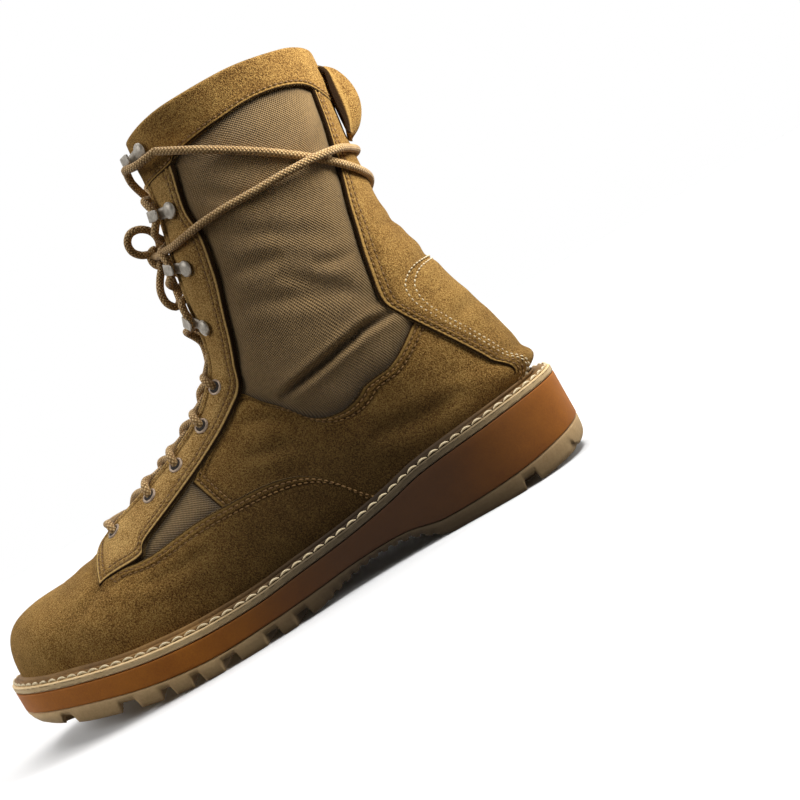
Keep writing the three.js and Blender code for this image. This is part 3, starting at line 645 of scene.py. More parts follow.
def nylon_finish(name, dark, light, pitch=1.15):
    """Plain weave: each yarn shows as a bump where it passes over, in a chequer. Colour is
    darker between yarns and clouds softly over the cloth."""
    made = Finish(name, roughness=0.62, Sheen_Weight=0.25, Sheen_Roughness=0.35,
                  Sheen_Tint=tone(215, 195, 150), Specular_IOR_Level=0.35)
    u, v = made.across()
    at = made.millimetres()
    turn = 2 * math.pi / pitch
    wander = made.noise(at, 9, 2) * 0.5
    yarn = ((u * turn + wander).sine() * (v * turn + wander).sine()) * 0.5 + 0.5
    clouds = made.noise(at, 30, 3)
    flecks = made.noise(at, 1.6, 2)
    value = yarn * 0.6 + clouds * 0.25 + flecks * 0.35 - 0.1
    base = made.tones(value, (0.15, dark), (0.85, light))
    # Painted shade along the seams beside the panels over the cloth, and in its creases.
    base = made.mixed(made.field("shade"), base, tone(34, 24, 12))
    # Painted deep shade low round the middle of the boot.
    made.colour(made.shadowed(base, 0.5))
    made.bump(yarn, 0.6, 1.0)


def rubber_finish(name, dark, light, grain=1.4, relief=0.12, roughness=0.72):
    """Moulded rubber or smooth leather: soft clouds, fine pitting and some dust, and painted
    deep shade low round the middle of the sole.
    """
    made = Finish(name, roughness=roughness, Specular_IOR_Level=0.35)
    at = made.millimetres()
    clouds = made.noise(at, 22, 4)
    pits = made.noise(at, grain, 3, 0.7)
    base = made.tones(clouds * 0.7 + pits * 0.45 - 0.1, (0.25, dark), (0.75, light))
    # Painted deep shade low round the middle of the sole.
    made.colour(made.shadowed(base, 0.9, SOLE_SHADE_ALONG))
    made.rough(pits * 0.2 + (roughness - 0.1))
    made.bump(pits + clouds, relief, 0.6)


def thread_finish(name, dark, light):
    """Waxed thread with a fine twist."""
    made = Finish(name, roughness=0.6)
    at = made.millimetres()
    made.colour(made.tones(made.noise(at, 1.6, 3), (0.3, dark), (0.65, light)))
    made.bump(made.noise(at, 0.35, 1), 0.12, 0.6)


def metal_finish(name, dark, light, metallic, roughness):
    """Lacquered steel, slightly worn and dusty."""
    made = Finish(name, roughness=roughness, Metallic=metallic)
    at = made.millimetres()
    wear = made.noise(at, 2.2, 4, 0.65)
    made.colour(made.tones(wear, (0.3, dark), (0.6, light)))
    made.rough(wear * 0.25 + (roughness - 0.1))
    made.bump(made.noise(at, 0.5, 2), 0.03, 0.4)


def lace_finish(name, dark, middle, light):
    """Round braid: two families of strands cross as slanted ridges, lighter on top, with
    flecks along it."""
    made = Finish(name, roughness=0.8, Sheen_Weight=0.2, Sheen_Roughness=0.4, Specular_IOR_Level=0.25)
    u, v = made.across()
    at = made.millimetres()
    along = v * (math.pi * 10 / 1.7)
    round_ = u * (math.pi * 3)
    braid = ((along + round_).sine() * (along - round_).sine()).size()
    flecks = made.noise(at, 1.3, 2, 0.7)
    value = braid * 0.55 + flecks * 0.5 + made.noise(at, 7, 2) * 0.3 - 0.13
    made.colour(made.tones(value, (0.2, dark), (0.5, middle), (0.85, light)))
    made.bump(braid + flecks * 0.3, 0.45, 0.9)


def cloth_finish(name, dark, light, pitch=1.6, roughness=0.9):
    """Ribbed cloth: fine ribs along and across, with flecks."""
    made = Finish(name, roughness=roughness, Sheen_Weight=0.2, Sheen_Roughness=0.5)
    u, v = made.across()
    at = made.millimetres()
    rib = (v * (2 * math.pi / pitch)).sine() * 0.5 + 0.5
    cross = (u * (2 * math.pi / (pitch * 1.3))).sine() * 0.5 + 0.5
    flecks = made.noise(at, 1.1, 3, 0.7)
    made.colour(made.tones(rib * 0.3 + cross * 0.25 + flecks * 0.6 - 0.05, (0.2, dark), (0.8, light)))
    made.bump(rib * 0.6 + cross * 0.4, 0.3, 0.6)


# Dark brown of the cut edges, also the colour of painted shade on the suede.
DARK_EDGE_AND_SHADE = tone(42, 26, 11)
suede_finish("suede", tone(88, 58, 25), tone(150, 110, 56), tone(196, 156, 88), DARK_EDGE_AND_SHADE)
# A lighter copy of the suede: painted light for the eyestay, which faces the front.
suede_finish("suede_painted_light_eyestay", tone(112, 78, 38), tone(180, 138, 78), tone(224, 186, 118), DARK_EDGE_AND_SHADE)
suede_finish("suede_binding", tone(58, 40, 20), tone(84, 60, 32), tone(112, 84, 48), DARK_EDGE_AND_SHADE)
nylon_finish("nylon", tone(78, 58, 32), tone(184, 148, 94), 1.25)
rubber_finish("tread_rubber", tone(188, 152, 104), tone(232, 198, 146))
rubber_finish("orange_rubber", tone(158, 90, 22), tone(204, 124, 36), 0.9, 0.1, 0.7)
rubber_finish("rand_rubber", tone(214, 180, 126), tone(244, 214, 164), 0.8, 0.06, 0.6)
rubber_finish("welt_leather", tone(104, 74, 38), tone(176, 136, 80), 1.2, 0.2, 0.7)
thread_finish("cream_thread", tone(206, 184, 140), tone(240, 222, 184))
thread_finish("tan_thread", tone(98, 68, 30), tone(150, 112, 58))
metal_finish("eyelet_steel", tone(120, 102, 84), tone(170, 150, 130), 0.6, 0.45)
# Near black and dull: painted shade inside the eyelets' holes.
metal_finish("painted_hole_shade", tone(16, 11, 6), tone(40, 28, 16), 0.0, 0.8)
metal_finish("hook_steel", tone(146, 136, 122), tone(188, 180, 166), 0.3, 0.4)
lace_finish("lace", tone(124, 90, 52), tone(194, 154, 100), tone(236, 204, 148))
cloth_finish("lining", tone(44, 34, 22), tone(84, 66, 42), 1.8)
cloth_finish("footbed", tone(54, 42, 28), tone(92, 74, 48), 2.4)
rubber_finish("aglet", tone(60, 40, 20), tone(92, 64, 34), 2.0, 0.03, 0.35)

# -------------------- laces that lie free

# From each top hook the lace runs back round the shaft and forward again to the knot:
# section, place round it, lift.
WRAP_FROM_LATERAL = [
    [15.25, 0.300, 5.9], [15.05, 0.365, 5.9], [14.85, 0.430, 5.7], [14.62, 0.500, 3.2],
    [14.35, 0.590, 2.9], [14.1, 0.690, 2.9], [13.9, 0.790, 2.9], [13.75, 0.890, 2.9],
    [13.65, 1.000, 2.9], [13.5, 1.110, 2.9], [13.32, 1.220, 2.9], [13.15, 1.330, 2.9],
    [13.0, 1.440, 2.9], [12.87, 1.550, 2.9], [12.72, 1.640, 2.9], [12.58, 1.720, 2.9],
    [12.46, 1.790, 2.9], [12.4, 1.860, 3.4],
]
WRAP_FROM_MEDIAL = [
    [15.25, 1.700, 5.9], [15.05, 1.635, 5.9], [14.85, 1.570, 5.7], [14.66, 1.500, 3.2],
    [14.52, 1.410, 2.9], [14.42, 1.310, 2.9], [14.35, 1.210, 2.9], [14.3, 1.110, 2.9],
    [14.27, 1.000, 2.9], [14.22, 0.890, 3.2], [14.15, 0.790, 6.4], [14.03, 0.700, 7.6],
    [13.85, 0.610, 5.2], [13.6, 0.520, 2.9], [13.3, 0.430, 2.9], [13.0, 0.345, 2.9],
    [12.7, 0.265, 2.9], [12.48, 0.195, 3.0], [12.4, 0.140, 3.4],
]
WRAP_END_LATERAL = [137.4, -7.6, 180]
WRAP_END_MEDIAL = [137.4, 7.6, 180]
KNOT_MIDDLE = np.array([138.2, 0, 181])
UPPER_LOOP = [
    [142.6, 1.5, 184.4], [145.6, 2.6, 185.6], [148.3, 4.4, 188.8], [147.9, 6, 193.2], [144.6, 6.8, 196.2],
    [140.2, 6.2, 196.2], [136.4, 4.2, 193.8], [135, 1.8, 190.6], [135.2, 0.6, 187.6],
]
LOWER_LOOP = [
    [140.5, 2.2, 175.4], [143.6, 3.4, 171], [146.2, 4.6, 165.4], [146.4, 4.2, 159.6],
    [144, 1.2, 156.2], [141.6, -2.6, 158.2], [140.8, -4.8, 163], [139.8, -4.6, 169], [139, -2.8, 174.6],
]
# section, distance out from the crest, lift
LONG_END = [
    [12.1, -9, 6.4], [11.95, -16, 8.6], [11.7, -24, 8.8], [11.3, -31, 6.6], [10.9, -36, 3.6],
    [10.4, -39, 2.9], [9.9, -41, 2.9], [9.4, -42.5, 2.9], [8.9, -43.5, 2.9],
]
SHORT_END = [
    [12.25, -9, 11], [12.2, -16, 13], [12.0, -25, 13], [11.75, -34, 9.6], [11.4, -41, 5.4],
    [11.0, -46, 3.2], [10.6, -49, 2.9],
]
AGLET = 12.0


def wrapped(rows, ending):
    """A lace over the shaft, from rows of section, round and lift to an ending."""
    rows = np.array(rows)
    return centripetal(np.vstack([raised(rows[:, 0], rows[:, 1], rows[:, 2]), ending]))


def draped(rows):
    """A lace end that lies over the front of the boot."""
    rows = np.array(rows)
    return centripetal(over(rows[:, 0], rows[:, 1], rows[:, 2]))


def free_lace(name, path, with_pieces=()):
    """One free stretch of lace."""
    piece = tube_piece("braid_" + name, [path], LACE / 2, "lace")
    finish_piece(piece, "lace_cord", "lace_" + name)
    return piece


def aglet(name, path):
    """The hard sleeve on the last stretch of a lace."""
    left = np.cumsum(np.linalg.norm(np.diff(path, axis=0), axis=1)[::-1])[::-1]
    last = path[:-1][left <= AGLET]
    last = np.vstack([last, path[-1] + unit(path[-1] - path[-2]) * 0.4])
    radius = np.full(len(last), LACE / 2 + 0.22)
    radius[[0, -1]] -= 0.3
    return finish_piece(tube_piece(name, [last], radius, "aglet"), "lace_cord")


def knot_piece():
    """The bow's knot: short strands that join wraps, loops and ends, and a band of two turns
    round them, a helix about the line across the boot."""
    x, y, z = KNOT_MIDDLE
    joins = [
        [WRAP_END_MEDIAL, [139.0, 3.6, 181.2], [141.0, 1.2, 182.6], UPPER_LOOP[0]],
        [WRAP_END_LATERAL, [138.6, -3.4, 180.2], [140.2, 0.6, 178.2], LOWER_LOOP[0]],
        [UPPER_LOOP[-1], [136.6, -0.4, 184.4], [137.6, -4.6, 182.4], over(12.1, -9, 6.4)],
        [LOWER_LOOP[-1], [139.6, -1.6, 178.4], [141.8, -4.6, 181.6], over(12.25, -9, 11)],
    ]
    turn = np.linspace(-0.9 * np.pi, 2.6 * np.pi, 90)
    band = np.stack([x + 1.4 + 3.3 * np.cos(turn), y + 0.2 + 2.9 * turn / (2 * np.pi) - 2.2,
                     z + 4.1 * np.sin(turn)], axis=1)
    paths = [centripetal(p) for p in joins] + [band]
    piece = tube_piece("braid_knot", paths, LACE / 2, "lace")
    return finish_piece(piece, "lace_cord", "lace_knot")


long_path, short_path = draped(LONG_END), draped(SHORT_END)
knot = knot_piece()
wrap_lateral_path = wrapped(WRAP_FROM_LATERAL, WRAP_END_LATERAL)
wrap_medial_path = wrapped(WRAP_FROM_MEDIAL, WRAP_END_MEDIAL)
free_lace("wrap_lateral", wrap_lateral_path, [knot])
free_lace("wrap_medial", wrap_medial_path)
free_lace("loop_upper", centripetal(UPPER_LOOP))
free_lace("loop_lower", centripetal(LOWER_LOOP))
free_lace("end_long", long_path, [aglet("aglet_long", long_path)])
free_lace("end_short", short_path, [aglet("aglet_short", short_path)])

# -------------------- floor and light


# How bright the surroundings are on the near side and from below, beside 1 elsewhere.
NEAR_LIGHT = 0.1
UNDER_LIGHT = 0.12
# Name, direction of the light, its spread in degrees, strength.
SUNS = [
    ("sun_above", (0.0, 0.2, -1.0), 50, 1.5),
    ("sun_toe", (-0.8, -0.3, -0.6), 30, 1.2),
    ("sun_heel", (0.9, -0.3, -0.35), 30, 0.6),
]
# A lamp behind the collar: its place and aim in design millimetres, size in metres, watts.
LAMP = ([-100, 80, 260], [30, 20, 190], 0.1, 0.7)


def build_floor(radius=6.0, around=96):
    """A pale round floor in rings, radius in metres, at the sole's height. It takes shadows
    but throws no light back up."""
    rings = np.concatenate([[0.0], np.geomspace(0.2, radius, 12)])[:, None] * 1000
    angle = np.linspace(0, 2 * np.pi, around, endpoint=False)
    points = np.dstack([rings * np.cos(angle), rings * np.sin(angle), 0.0 * rings * angle])
    points = points.reshape(-1, 3) + [SOLE_LENGTH / 2, 0, 0]
    floor = make_mesh("floor", points, grid_faces(len(rings), around, close_cols=True), "floor")
    floor.visible_diffuse = False


def build_light():
    """Surroundings that are white above and behind the boot and dim on the near side and
    below, three broad suns, and a lamp for the back of the collar."""
    world = bpy.data.worlds.new("studio")
    world.use_nodes = True
    nodes, links = world.node_tree.nodes, world.node_tree.links
    where = nodes.new("ShaderNodeTexCoord")
    parts = nodes.new("ShaderNodeSeparateXYZ")
    product = nodes.new("ShaderNodeMath")
    product.operation = "MULTIPLY"
    links.new(where.outputs["Generated"], parts.inputs[0])
    spans = ("Y", -0.72, 0.3, 1.0, NEAR_LIGHT), ("Z", -0.4, -0.02, UNDER_LIGHT, 1.0)
    for k, (axis, *values) in enumerate(spans):
        tones = nodes.new("ShaderNodeMapRange")
        tones.interpolation_type = "SMOOTHSTEP"
        for key, value in zip(("From Min", "From Max", "To Min", "To Max"), values):
            tones.inputs[key].default_value = value
        links.new(parts.outputs[axis], tones.inputs["Value"])
        links.new(tones.outputs[0], product.inputs[k])
    links.new(product.outputs[0], nodes["Background"].inputs[1])
    nodes["Background"].inputs[0].default_value = (1, 1, 1, 1)
    bpy.context.scene.world = world
    for name, aim, spread, strength in SUNS:
        sun = bpy.data.lights.new(name, "SUN")
        sun.energy = strength
        sun.angle = math.radians(spread)
        holder = bpy.data.objects.new(name, sun)
        bpy.context.scene.collection.objects.link(holder)
        holder.rotation_euler = Vector(aim).to_track_quat("-Z", "Y").to_euler()
    at, aim, size, watts = LAMP
    lamp = bpy.data.lights.new("lamp", "AREA")
    lamp.size, lamp.energy = size, watts
    holder = bpy.data.objects.new("lamp", lamp)
    bpy.context.scene.collection.objects.link(holder)
    holder.location = place(at)
    holder.rotation_euler = Vector(place(aim) - place(at)).to_track_quat("-Z", "Y").to_euler()


floor_finish = Finish("floor", roughness=0.9)
floor_finish.colour(floor_finish.tones(floor_finish.noise(floor_finish.millimetres(), 400),
                                       (0.3, tone(246, 246, 246)), (0.7, tone(252, 252, 252))))
build_floor()
build_light()
bpy.context.scene.view_settings.view_transform = "Standard"

# -------------------- sole

# The air left between two layers of the sole.
GAP = 0.3
# The tread's middle groove: depth, half width, swing to the sides, length along. Cross
# grooves: depth, half width, pitch. Teeth: depth, pitch. Slot: depth, half width.
WINDING = (3.4, 2.4, 3.2, 9.5)
CROSSING = (3.0, 1.6, 22)
TEETH = (1.3, 5.2)
SLOT = (3.2, 0.9)
# along, wide, deep, slant of the notches between the lugs, on both sides
NOTCHES = np.array([
    [37.5, 7, 26, 0], [155.5, 6.5, 38, -0.18], [171, 6.5, 42, -0.12], [193.5, 7.5, 44, 0],
    [211, 4.5, 42, 0.08], [226.5, 5, 40, 0.16], [246, 7.5, 36, 0.26], [275, 4, 18, 0.4],
])


def smooth_step(value, low, high):
    """0 below low, 1 above high, a cubic between."""
    t = np.clip((value - low) / (high - low), 0, 1)
    return t * t * (3 - 2 * t)


def band(value, rise, fall):
    """1 between two spans: it rises over the first and falls over the second."""
    return smooth_step(value, *rise) * (1 - smooth_step(value, *fall))


def tread_height(x, y):
    """How far the tread is cut away at a place under the sole: notches with sloping walls
    from either edge, a winding groove down the middle, cross grooves between the middle
    blocks, a thin slot at the back of the heel, and fine teeth at the waist's edge."""
    side = np.where(y > 0, sole_at(LATERAL, x), sole_at(MEDIAL, x))
    out = np.abs(y)
    cut = np.zeros_like(x)
    for along, wide, deep, slant in NOTCHES:
        edge = np.where(y > 0, sole_at(LATERAL, along), sole_at(MEDIAL, along))
        middle = edge + 8 - deep / 2
        away = np.abs(x - (along - np.sin(slant) * (out - middle)))
        cross = np.clip((wide / 2 + 0.7 - away) / 0.8, 0, 1)
        reach = np.clip((out - (edge + 4 - deep)) / 1.0, 0, 1)
        cut = np.maximum(cut, LUG * cross * reach)
    heel_or_ball = np.maximum(band(x, (150, 156), (286, 292)), band(x, (12, 16), (74, 80)))
    waist = band(x, (84, 92), (140, 148))
    deep, half, swing, length = WINDING
    winding = np.abs(y + 2 - swing * np.sin(x / length))
    cut = np.maximum(cut, deep * np.clip((half - winding) / 0.8, 0, 1) * heel_or_ball)
    deep, half, pitch = CROSSING
    cross = np.abs((x + 0.25 * out - 20) % pitch - pitch / 2)
    inner = np.clip((side - 22 - out) / 1.5, 0, 1)
    cut = np.maximum(cut, deep * np.clip((half - cross) / 0.7, 0, 1) * heel_or_ball * inner)
    deep, pitch = TEETH
    teeth = np.clip((np.abs((x / pitch) % 1 - 0.5) - 0.22) / 0.12, 0, 1)
    cut = np.maximum(cut, deep * teeth * waist * np.clip((out - side + 9) / 1.5, 0, 1))
    deep, half = SLOT
    slot = np.clip((half - np.abs(x - 5 - 0.012 * y * y)) / 0.5, 0, 1) * (x < 30)
    return np.maximum(cut, deep * slot)


def build_outsole(rungs=760, columns=84):
    """Closed loops across the sole: down the outer wall, under the tread and up the inner
    wall. Walls lean in by a toe tuck and round over at the ground."""
    line = np.vstack([OUTLINE, OUTLINE[:1]])
    inward = np.vstack([OUTLINE_IN, OUTLINE_IN[:1]])
    toe = np.argmax(OUTLINE[:, 0])
    t = (1 - np.cos(np.pi * np.linspace(0.01, 0.99, rungs))) / 2
    t = 0.35 * t + 0.65 * np.linspace(t[0], t[-1], rungs)
    keys = np.arange(len(line))
    outer_at, inner_at = t * toe, len(OUTLINE) - t * (len(OUTLINE) - toe)
    share = np.array([0, 0.12, 0.45, 0.72, 0.86, 0.95, 1.0])
    tuck_share = np.array([0.35, 0.0, 0.2, 0.5, 0.85, 1.35, 1.9])
    walls = []
    for at in (outer_at, inner_at):
        edge, lean = read_line(line, keys, at), read_line(inward, keys, at)
        tuck = 1 + 4 * smooth_step(edge[:, 0], 262, 306)
        plan = edge[:, None] + lean[:, None] * (0.4 + tuck[:, None] * tuck_share)[..., None]
        x = plan[..., 0]
        high = sole_at(WEDGE, x) - GAP / 2
        low = sole_at(GROUND, x)
        tread = low + tread_height(x, plan[..., 1])
        z = high + (tread + 0.5 * (1 - share) - high) * share
        walls.append(np.dstack([plan, z]))
    outer, inner = walls
    across = np.linspace(0, 1, columns + 2)[1:-1][None, :, None]
    plan = outer[:, -1:, :2] * (1 - across) + inner[:, -1:, :2] * across
    under = np.dstack([plan, sole_at(GROUND, plan[..., 0]) + tread_height(plan[..., 0], plan[..., 1])])
    loops = np.concatenate([outer, under, inner[:, ::-1]], axis=1)
    rows, cols = loops.shape[:2]
    points = loops.reshape(-1, 3)
    quads = grid_faces(rows, cols, close_cols=True)
    ends = [np.arange(cols)[None, ::-1], ((rows - 1) * cols + np.arange(cols))[None, :]]
    quads = outside_out(points, quads)
    near = quads[0, 1] == 1
    ends = [e if near else e[:, ::-1] for e in ends]
    piece = make_mesh("tread", points, [quads] + ends, "tread_rubber")
    return finish_piece(piece, "outsole_rubber", "outsole")


def build_ring(name, low, high, slot, material, node, soft, inset=14.0):
    """A layer of the sole as a closed ring: its profile runs down an outer wall, rounded by
    soft at both borders, and back at the inside. low and high give heights along the sole."""
    bend = np.linspace(0, np.pi / 2, 5)
    wall = np.linspace(0, 1, 7)[1:-1]
    profile = [(inset, 1, 0)]
    profile += [(soft * (1 - np.sin(a)), 1, -soft * (1 - np.cos(a))) for a in bend]
    profile += [(0, 1 - w, 0) for w in wall]
    profile += [(soft * (1 - np.cos(a)), 0, soft * (1 - np.sin(a))) for a in bend]
    profile += [(inset, 0, 0)]
    inward, share, shift = np.array(profile).T
    plan = OUTLINE[:, None] + OUTLINE_IN[:, None] * (inward + 0.25)[None, :, None]
    bottom, top = low(OUTLINE[:, 0])[:, None], high(OUTLINE[:, 0])[:, None]
    z = bottom + (top - bottom) * share + shift
    points = np.dstack([plan, z]).reshape(-1, 3)
    quads = outside_out(points, grid_faces(len(OUTLINE), len(profile), True, True))
    return finish_piece(make_mesh(name, points, quads, material), slot, node)


build_outsole()
build_ring("wedge_layer", lambda x: sole_at(WEDGE, x) + GAP / 2,
           lambda x: sole_at(TOP, x) - STRIP - GAP / 2,
           "midsole_rubber", "orange_rubber", "midsole", 0.5)
build_ring("pale_layer", lambda x: sole_at(TOP, x) - STRIP + GAP / 2,
           lambda x: sole_at(TOP, x) - GAP / 2,
           "strip_rubber", "rand_rubber", "midsole_strip", 0.8)

# -------------------- panels of the upper

# How deep a panel's skirt goes below the form, how far its cut edge rounds over, the strips
# beside a free edge, and the distances of the stitch rows from an edge.
SKIRT = -2.6
ROLL = 1.1
EDGE_STEPS = np.array([0, 0, 0.12, 0.35, 0.65, 1.0, 1.6, 2.2, 2.6, 3.0, 3.8, 4.7, 5.1, 5.5, 7, 9])
STITCH_ROWS = (2.6, 5.1)
# How far each layer stands off the form.
NYLON_LIFT = -1.2
QUARTER_LIFT = -0.6
VAMP_LIFT = 0.6
BACKSTAY_LIFT = 1.2
EYESTAY_LIFT = 1.3
EYESTAY_SKIRT = -3.4


def foot(share):
    """(section, round) on the line where the upper meets the sole, from toe 0 to heel 1."""
    at = np.clip(share, 0, 1) * (len(FEATHER) - 1)
    return read_line(FEATHER, np.arange(len(FEATHER)), at)


def through(points):
    """A smooth edge through (section, round) points, as a function of the point number."""
    points = np.array(points, float)
    return lambda at: rows_at(points, at)


def along_foot(shares):
    """An edge along the foot of the upper, its shares given at whole numbers."""
    return lambda at: foot(np.interp(at, np.arange(len(shares)), shares))


def throat_edge(sections):
    """An edge along the throat, its sections given at whole numbers."""
    def edge(at):
        s = np.interp(at, np.arange(len(sections)), sections)
        return np.stack([s, place_from_crest(s, throat_half(np.maximum(s, THROAT_START)))], axis=-1)
    return edge


def spaced(width, inner, near_start, near_end):
    """Shares across strips of given widths: close together near a free edge, where they
    start with a doubled one for its skirt, and even between."""
    width = np.asarray(width, float).reshape(-1, 1)
    near = EDGE_STEPS * np.minimum(1, width / 22) / width
    low = near if near_start else near[:, :1]
    high = 1 - near[:, ::-1] if near_end else 1 - near[:, :1]
    between = low[:, -1:] + (high[:, :1] - low[:, -1:]) * np.linspace(0, 1, inner + 2)[1:-1]
    return np.hstack([low, between, high])


def distance_to(points, lines):
    """Least distance from each point to any of the lines of points."""
    flat = points.reshape(-1, 3)
    least = np.full(len(flat), 1e9)
    for line in lines:
        for k in range(0, len(flat), 20000):
            part = flat[k:k + 20000]
            gap = ((part[:, None] - line[None]) ** 2).sum(axis=2).min(axis=1)
            least[k:k + 20000] = np.minimum(least[k:k + 20000], gap)
    return np.sqrt(least).reshape(points.shape[:-1])


def within(loop, s, u):
    """True where (s, u) lies inside a closed loop, by counting the edges to one side."""
    a, b = loop, np.roll(loop, -1, axis=0)
    odd = np.zeros(s.shape, bool)
    for (s0, u0), (s1, u1) in zip(a, b):
        if s0 != s1:
            crosses = (s0 > s) != (s1 > s)
            odd ^= crosses & (u < (u1 - u0) * (s - s0) / (s1 - s0) + u0)
    return odd


def edge_drop(away):
    """How far a cut edge rounds down near its border, a quarter circle."""
    t = np.clip(away / ROLL, 0, 1)
    return -ROLL * (1 - np.sqrt(1 - (1 - t) ** 2))


def seam_groove(away, rows):
    """Leather pulled down along its rows of stitches, and puffed a little between them."""
    dips = sum(-0.55 * np.exp(-((away - r) / 0.55) ** 2) for r in rows)
    puff = 0.35 * np.exp(-((away - rows[0] - 1.3) / 0.9) ** 2) if len(rows) > 1 else 0
    return dips + puff


def sway(p):
    """Slow unevenness of soft leather, a few crossed waves."""
    x, y, z = np.moveaxis(p, -1, 0)
    return (0.34 * np.sin(x / 13.0 + z / 19.0 + 0.4) * np.sin(z / 11.0 - y / 17.0 + 1.2)
            + 0.22 * np.sin(x / 7.3 - z / 9.1 + 2.0) * np.sin(x / 23.0 + y / 8.7)
            + 0.12 * np.sin(x / 3.9 + z / 5.3) * np.sin(z / 4.4 - x / 6.1 + 0.7))


def crease_field(p, creases, side):
    """Listed creases. Each is a line on the upper with depth, width and the swell at
    its sides: across it runs a soft trough between two ridges, and it fades at its ends."""
    flat = p.reshape(-1, 3)
    height = np.zeros(len(flat))
    for line, depth, width, swell in creases:
        line = smooth_line(np.array(line, float) * [1, side], 60)
        path = on_surface(line)
        near = np.flatnonzero(((flat - path.mean(axis=0)) ** 2).sum(axis=1)
                              < (np.linalg.norm(path[0] - path[-1]) * 0.6 + 6 * width) ** 2)
        if not len(near):
            continue
        gap = ((flat[near, None] - path[None]) ** 2).sum(axis=2)
        nearest = gap.argmin(axis=1)
        away = np.sqrt(gap.min(axis=1))
        fade = np.sin(np.pi * nearest / (len(path) - 1)) ** 0.35
        shape = (-depth * np.exp(-(away / width) ** 2)
                 + swell * np.exp(-((away - 2.1 * width) / (1.2 * width)) ** 2))
        height[near] += shape * fade
    return height.reshape(p.shape[:-1])


class Panel:
    """Leather or cloth between two edges of the upper, ruled in (section, round) from a low
    edge to a high one. Both edges are functions of the same numbers 0 to last."""

    def __init__(self, low, high, last, side=1):
        self.low, self.high, self.side = low, high, side
        dense = np.linspace(0, last, 60 * last + 1)
        run = (run_of(on_surface(low(dense))) + run_of(on_surface(high(dense)))) / 2
        self.dense, self.run, self.length = dense, run, run[-1]

    def at(self, along, share):
        """(section, round) at a run along the panel and a share across it."""
        number = np.interp(along, self.run, self.dense)
        low, high = self.low(number), self.high(number)
        return low + (high - low) * np.asarray(share)[..., None]

    def width(self, along):
        """The panel's width, by small steps across it."""
        along, steps = np.broadcast_arrays(along[:, None], np.linspace(0, 1, 13))
        points = on_surface(self.at(along, steps).reshape(-1, 2)).reshape(along.shape + (3,))
        return np.linalg.norm(np.diff(points, axis=1), axis=2).sum(axis=1)

    def row(self, edge, away, start=0.0, stop=None, step=1.0):
        """A line inside the panel, a distance away from one of its edges."""
        stop = self.length if stop is None else stop
        if edge in ("low", "high"):
            along = np.arange(start, stop, step)
            share = away / self.width(along)
            line = self.at(along, share if edge == "low" else 1 - share)
        else:
            along = np.array([away if edge == "start" else self.length - away])
            width = self.width(along)[0]
            share = np.arange(start, min(stop, width), step) / width
            line = self.at(along + 0 * share, share)
        return line * [1, self.side]

    def build(self, lift, columns, inner, free=("low", "high"), rows=STITCH_ROWS, relief=None,
              skirt=SKIRT, free_from=0):
        """The panel's points, normals, surface coordinates, edge marks and shade. Free edges
        are rounded and closed down to the skirt, the low edge only past its point free_from.
        relief adds a height and a shade from the plain surface's points and their (s, u)."""
        along = spaced([self.length], columns, "start" in free, "end" in free)[0] * self.length
        width = self.width(along)
        share = spaced(width, inner, "low" in free, "high" in free)
        grid = self.at(along[:, None] + 0 * share, share)
        s, u = grid[..., 0], grid[..., 1]
        away = {"low": share * width[:, None], "high": (1 - share) * width[:, None],
                "start": along[:, None] + 0 * share, "end": self.length - along[:, None] + 0 * share}
        joined = np.maximum(np.interp(free_from, self.dense, self.run) - along, 0)
        away["low"] = np.hypot(away["low"], joined[:, None])
        nearest = np.full(share.shape, 1e3)
        for edge in free:
            nearest = np.minimum(nearest, away[edge])
        plain = upper_point(s, u * self.side)
        height = lift + edge_drop(nearest) + sway(plain) * np.clip(nearest / 6, 0.25, 1)
        if rows and free:
            height = height + seam_groove(nearest, rows)
        # Painted shade in the grooves of the stitch rows.
        shade = sum(0.5 * np.exp(-((nearest - r) / 0.5) ** 2) for r in rows) if rows and free else 0 * s
        if relief is not None:
            raised_by, dark = relief(plain, s, u)
            height = height + raised_by
            shade = shade + dark
        edge_mark = np.clip(1 - nearest / 4, 0, 1)
        for edge, index in (("low", (joined <= 0, 0)), ("high", (slice(None), -1)),
                            ("start", (0,)), ("end", (-1,))):
            if edge in free:
                height[index] = skirt
        normal = upper_normal(s, u * self.side)
        points = plain + normal * height[..., None]
        uv = np.dstack([along[:, None] + 0 * share, away["low"]])
        return points, normal, uv, edge_mark, shade


def panel_piece(name, parts, material, slot, *nodes):
    """One object from built panels, with vertices that fall together welded. A quad that
    loses one corner by that becomes a triangle, one that loses more is left out."""
    points, faces, uvs, edges, shades, start = [], [], [], [], [], 0
    for p, normal, uv, edge, shade in parts:
        rows, cols = p.shape[:2]
        flat = p.reshape(-1, 3)
        quads = facing(flat, grid_faces(rows, cols), normal.reshape(-1, 3))
        points.append(flat)
        faces.append(quads + start)
        uvs.append(uv.reshape(-1, 2))
        edges.append(edge.ravel())
        shades.append(shade.ravel())
        start += len(flat)
    points, faces = np.vstack(points), np.vstack(faces)
    _, first, index = np.unique(np.round(points, 3), axis=0, return_index=True, return_inverse=True)
    faces = index.ravel()[faces]
    corners = 1 + (np.diff(np.sort(faces, axis=1), axis=1) != 0).sum(axis=1)
    kept = faces != np.roll(faces, 1, axis=1)
    three = (corners == 3) & (kept.sum(axis=1) == 3)
    groups = [faces[corners == 4], faces[three][kept[three]].reshape(-1, 3)]
    fields = {"edge": np.concatenate(edges)[first], "shade": np.concatenate(shades)[first]}
    piece = make_mesh(name, points[first], groups, material, uv=np.vstack(uvs)[first], fields=fields)
    return finish_piece(piece, slot, *nodes)


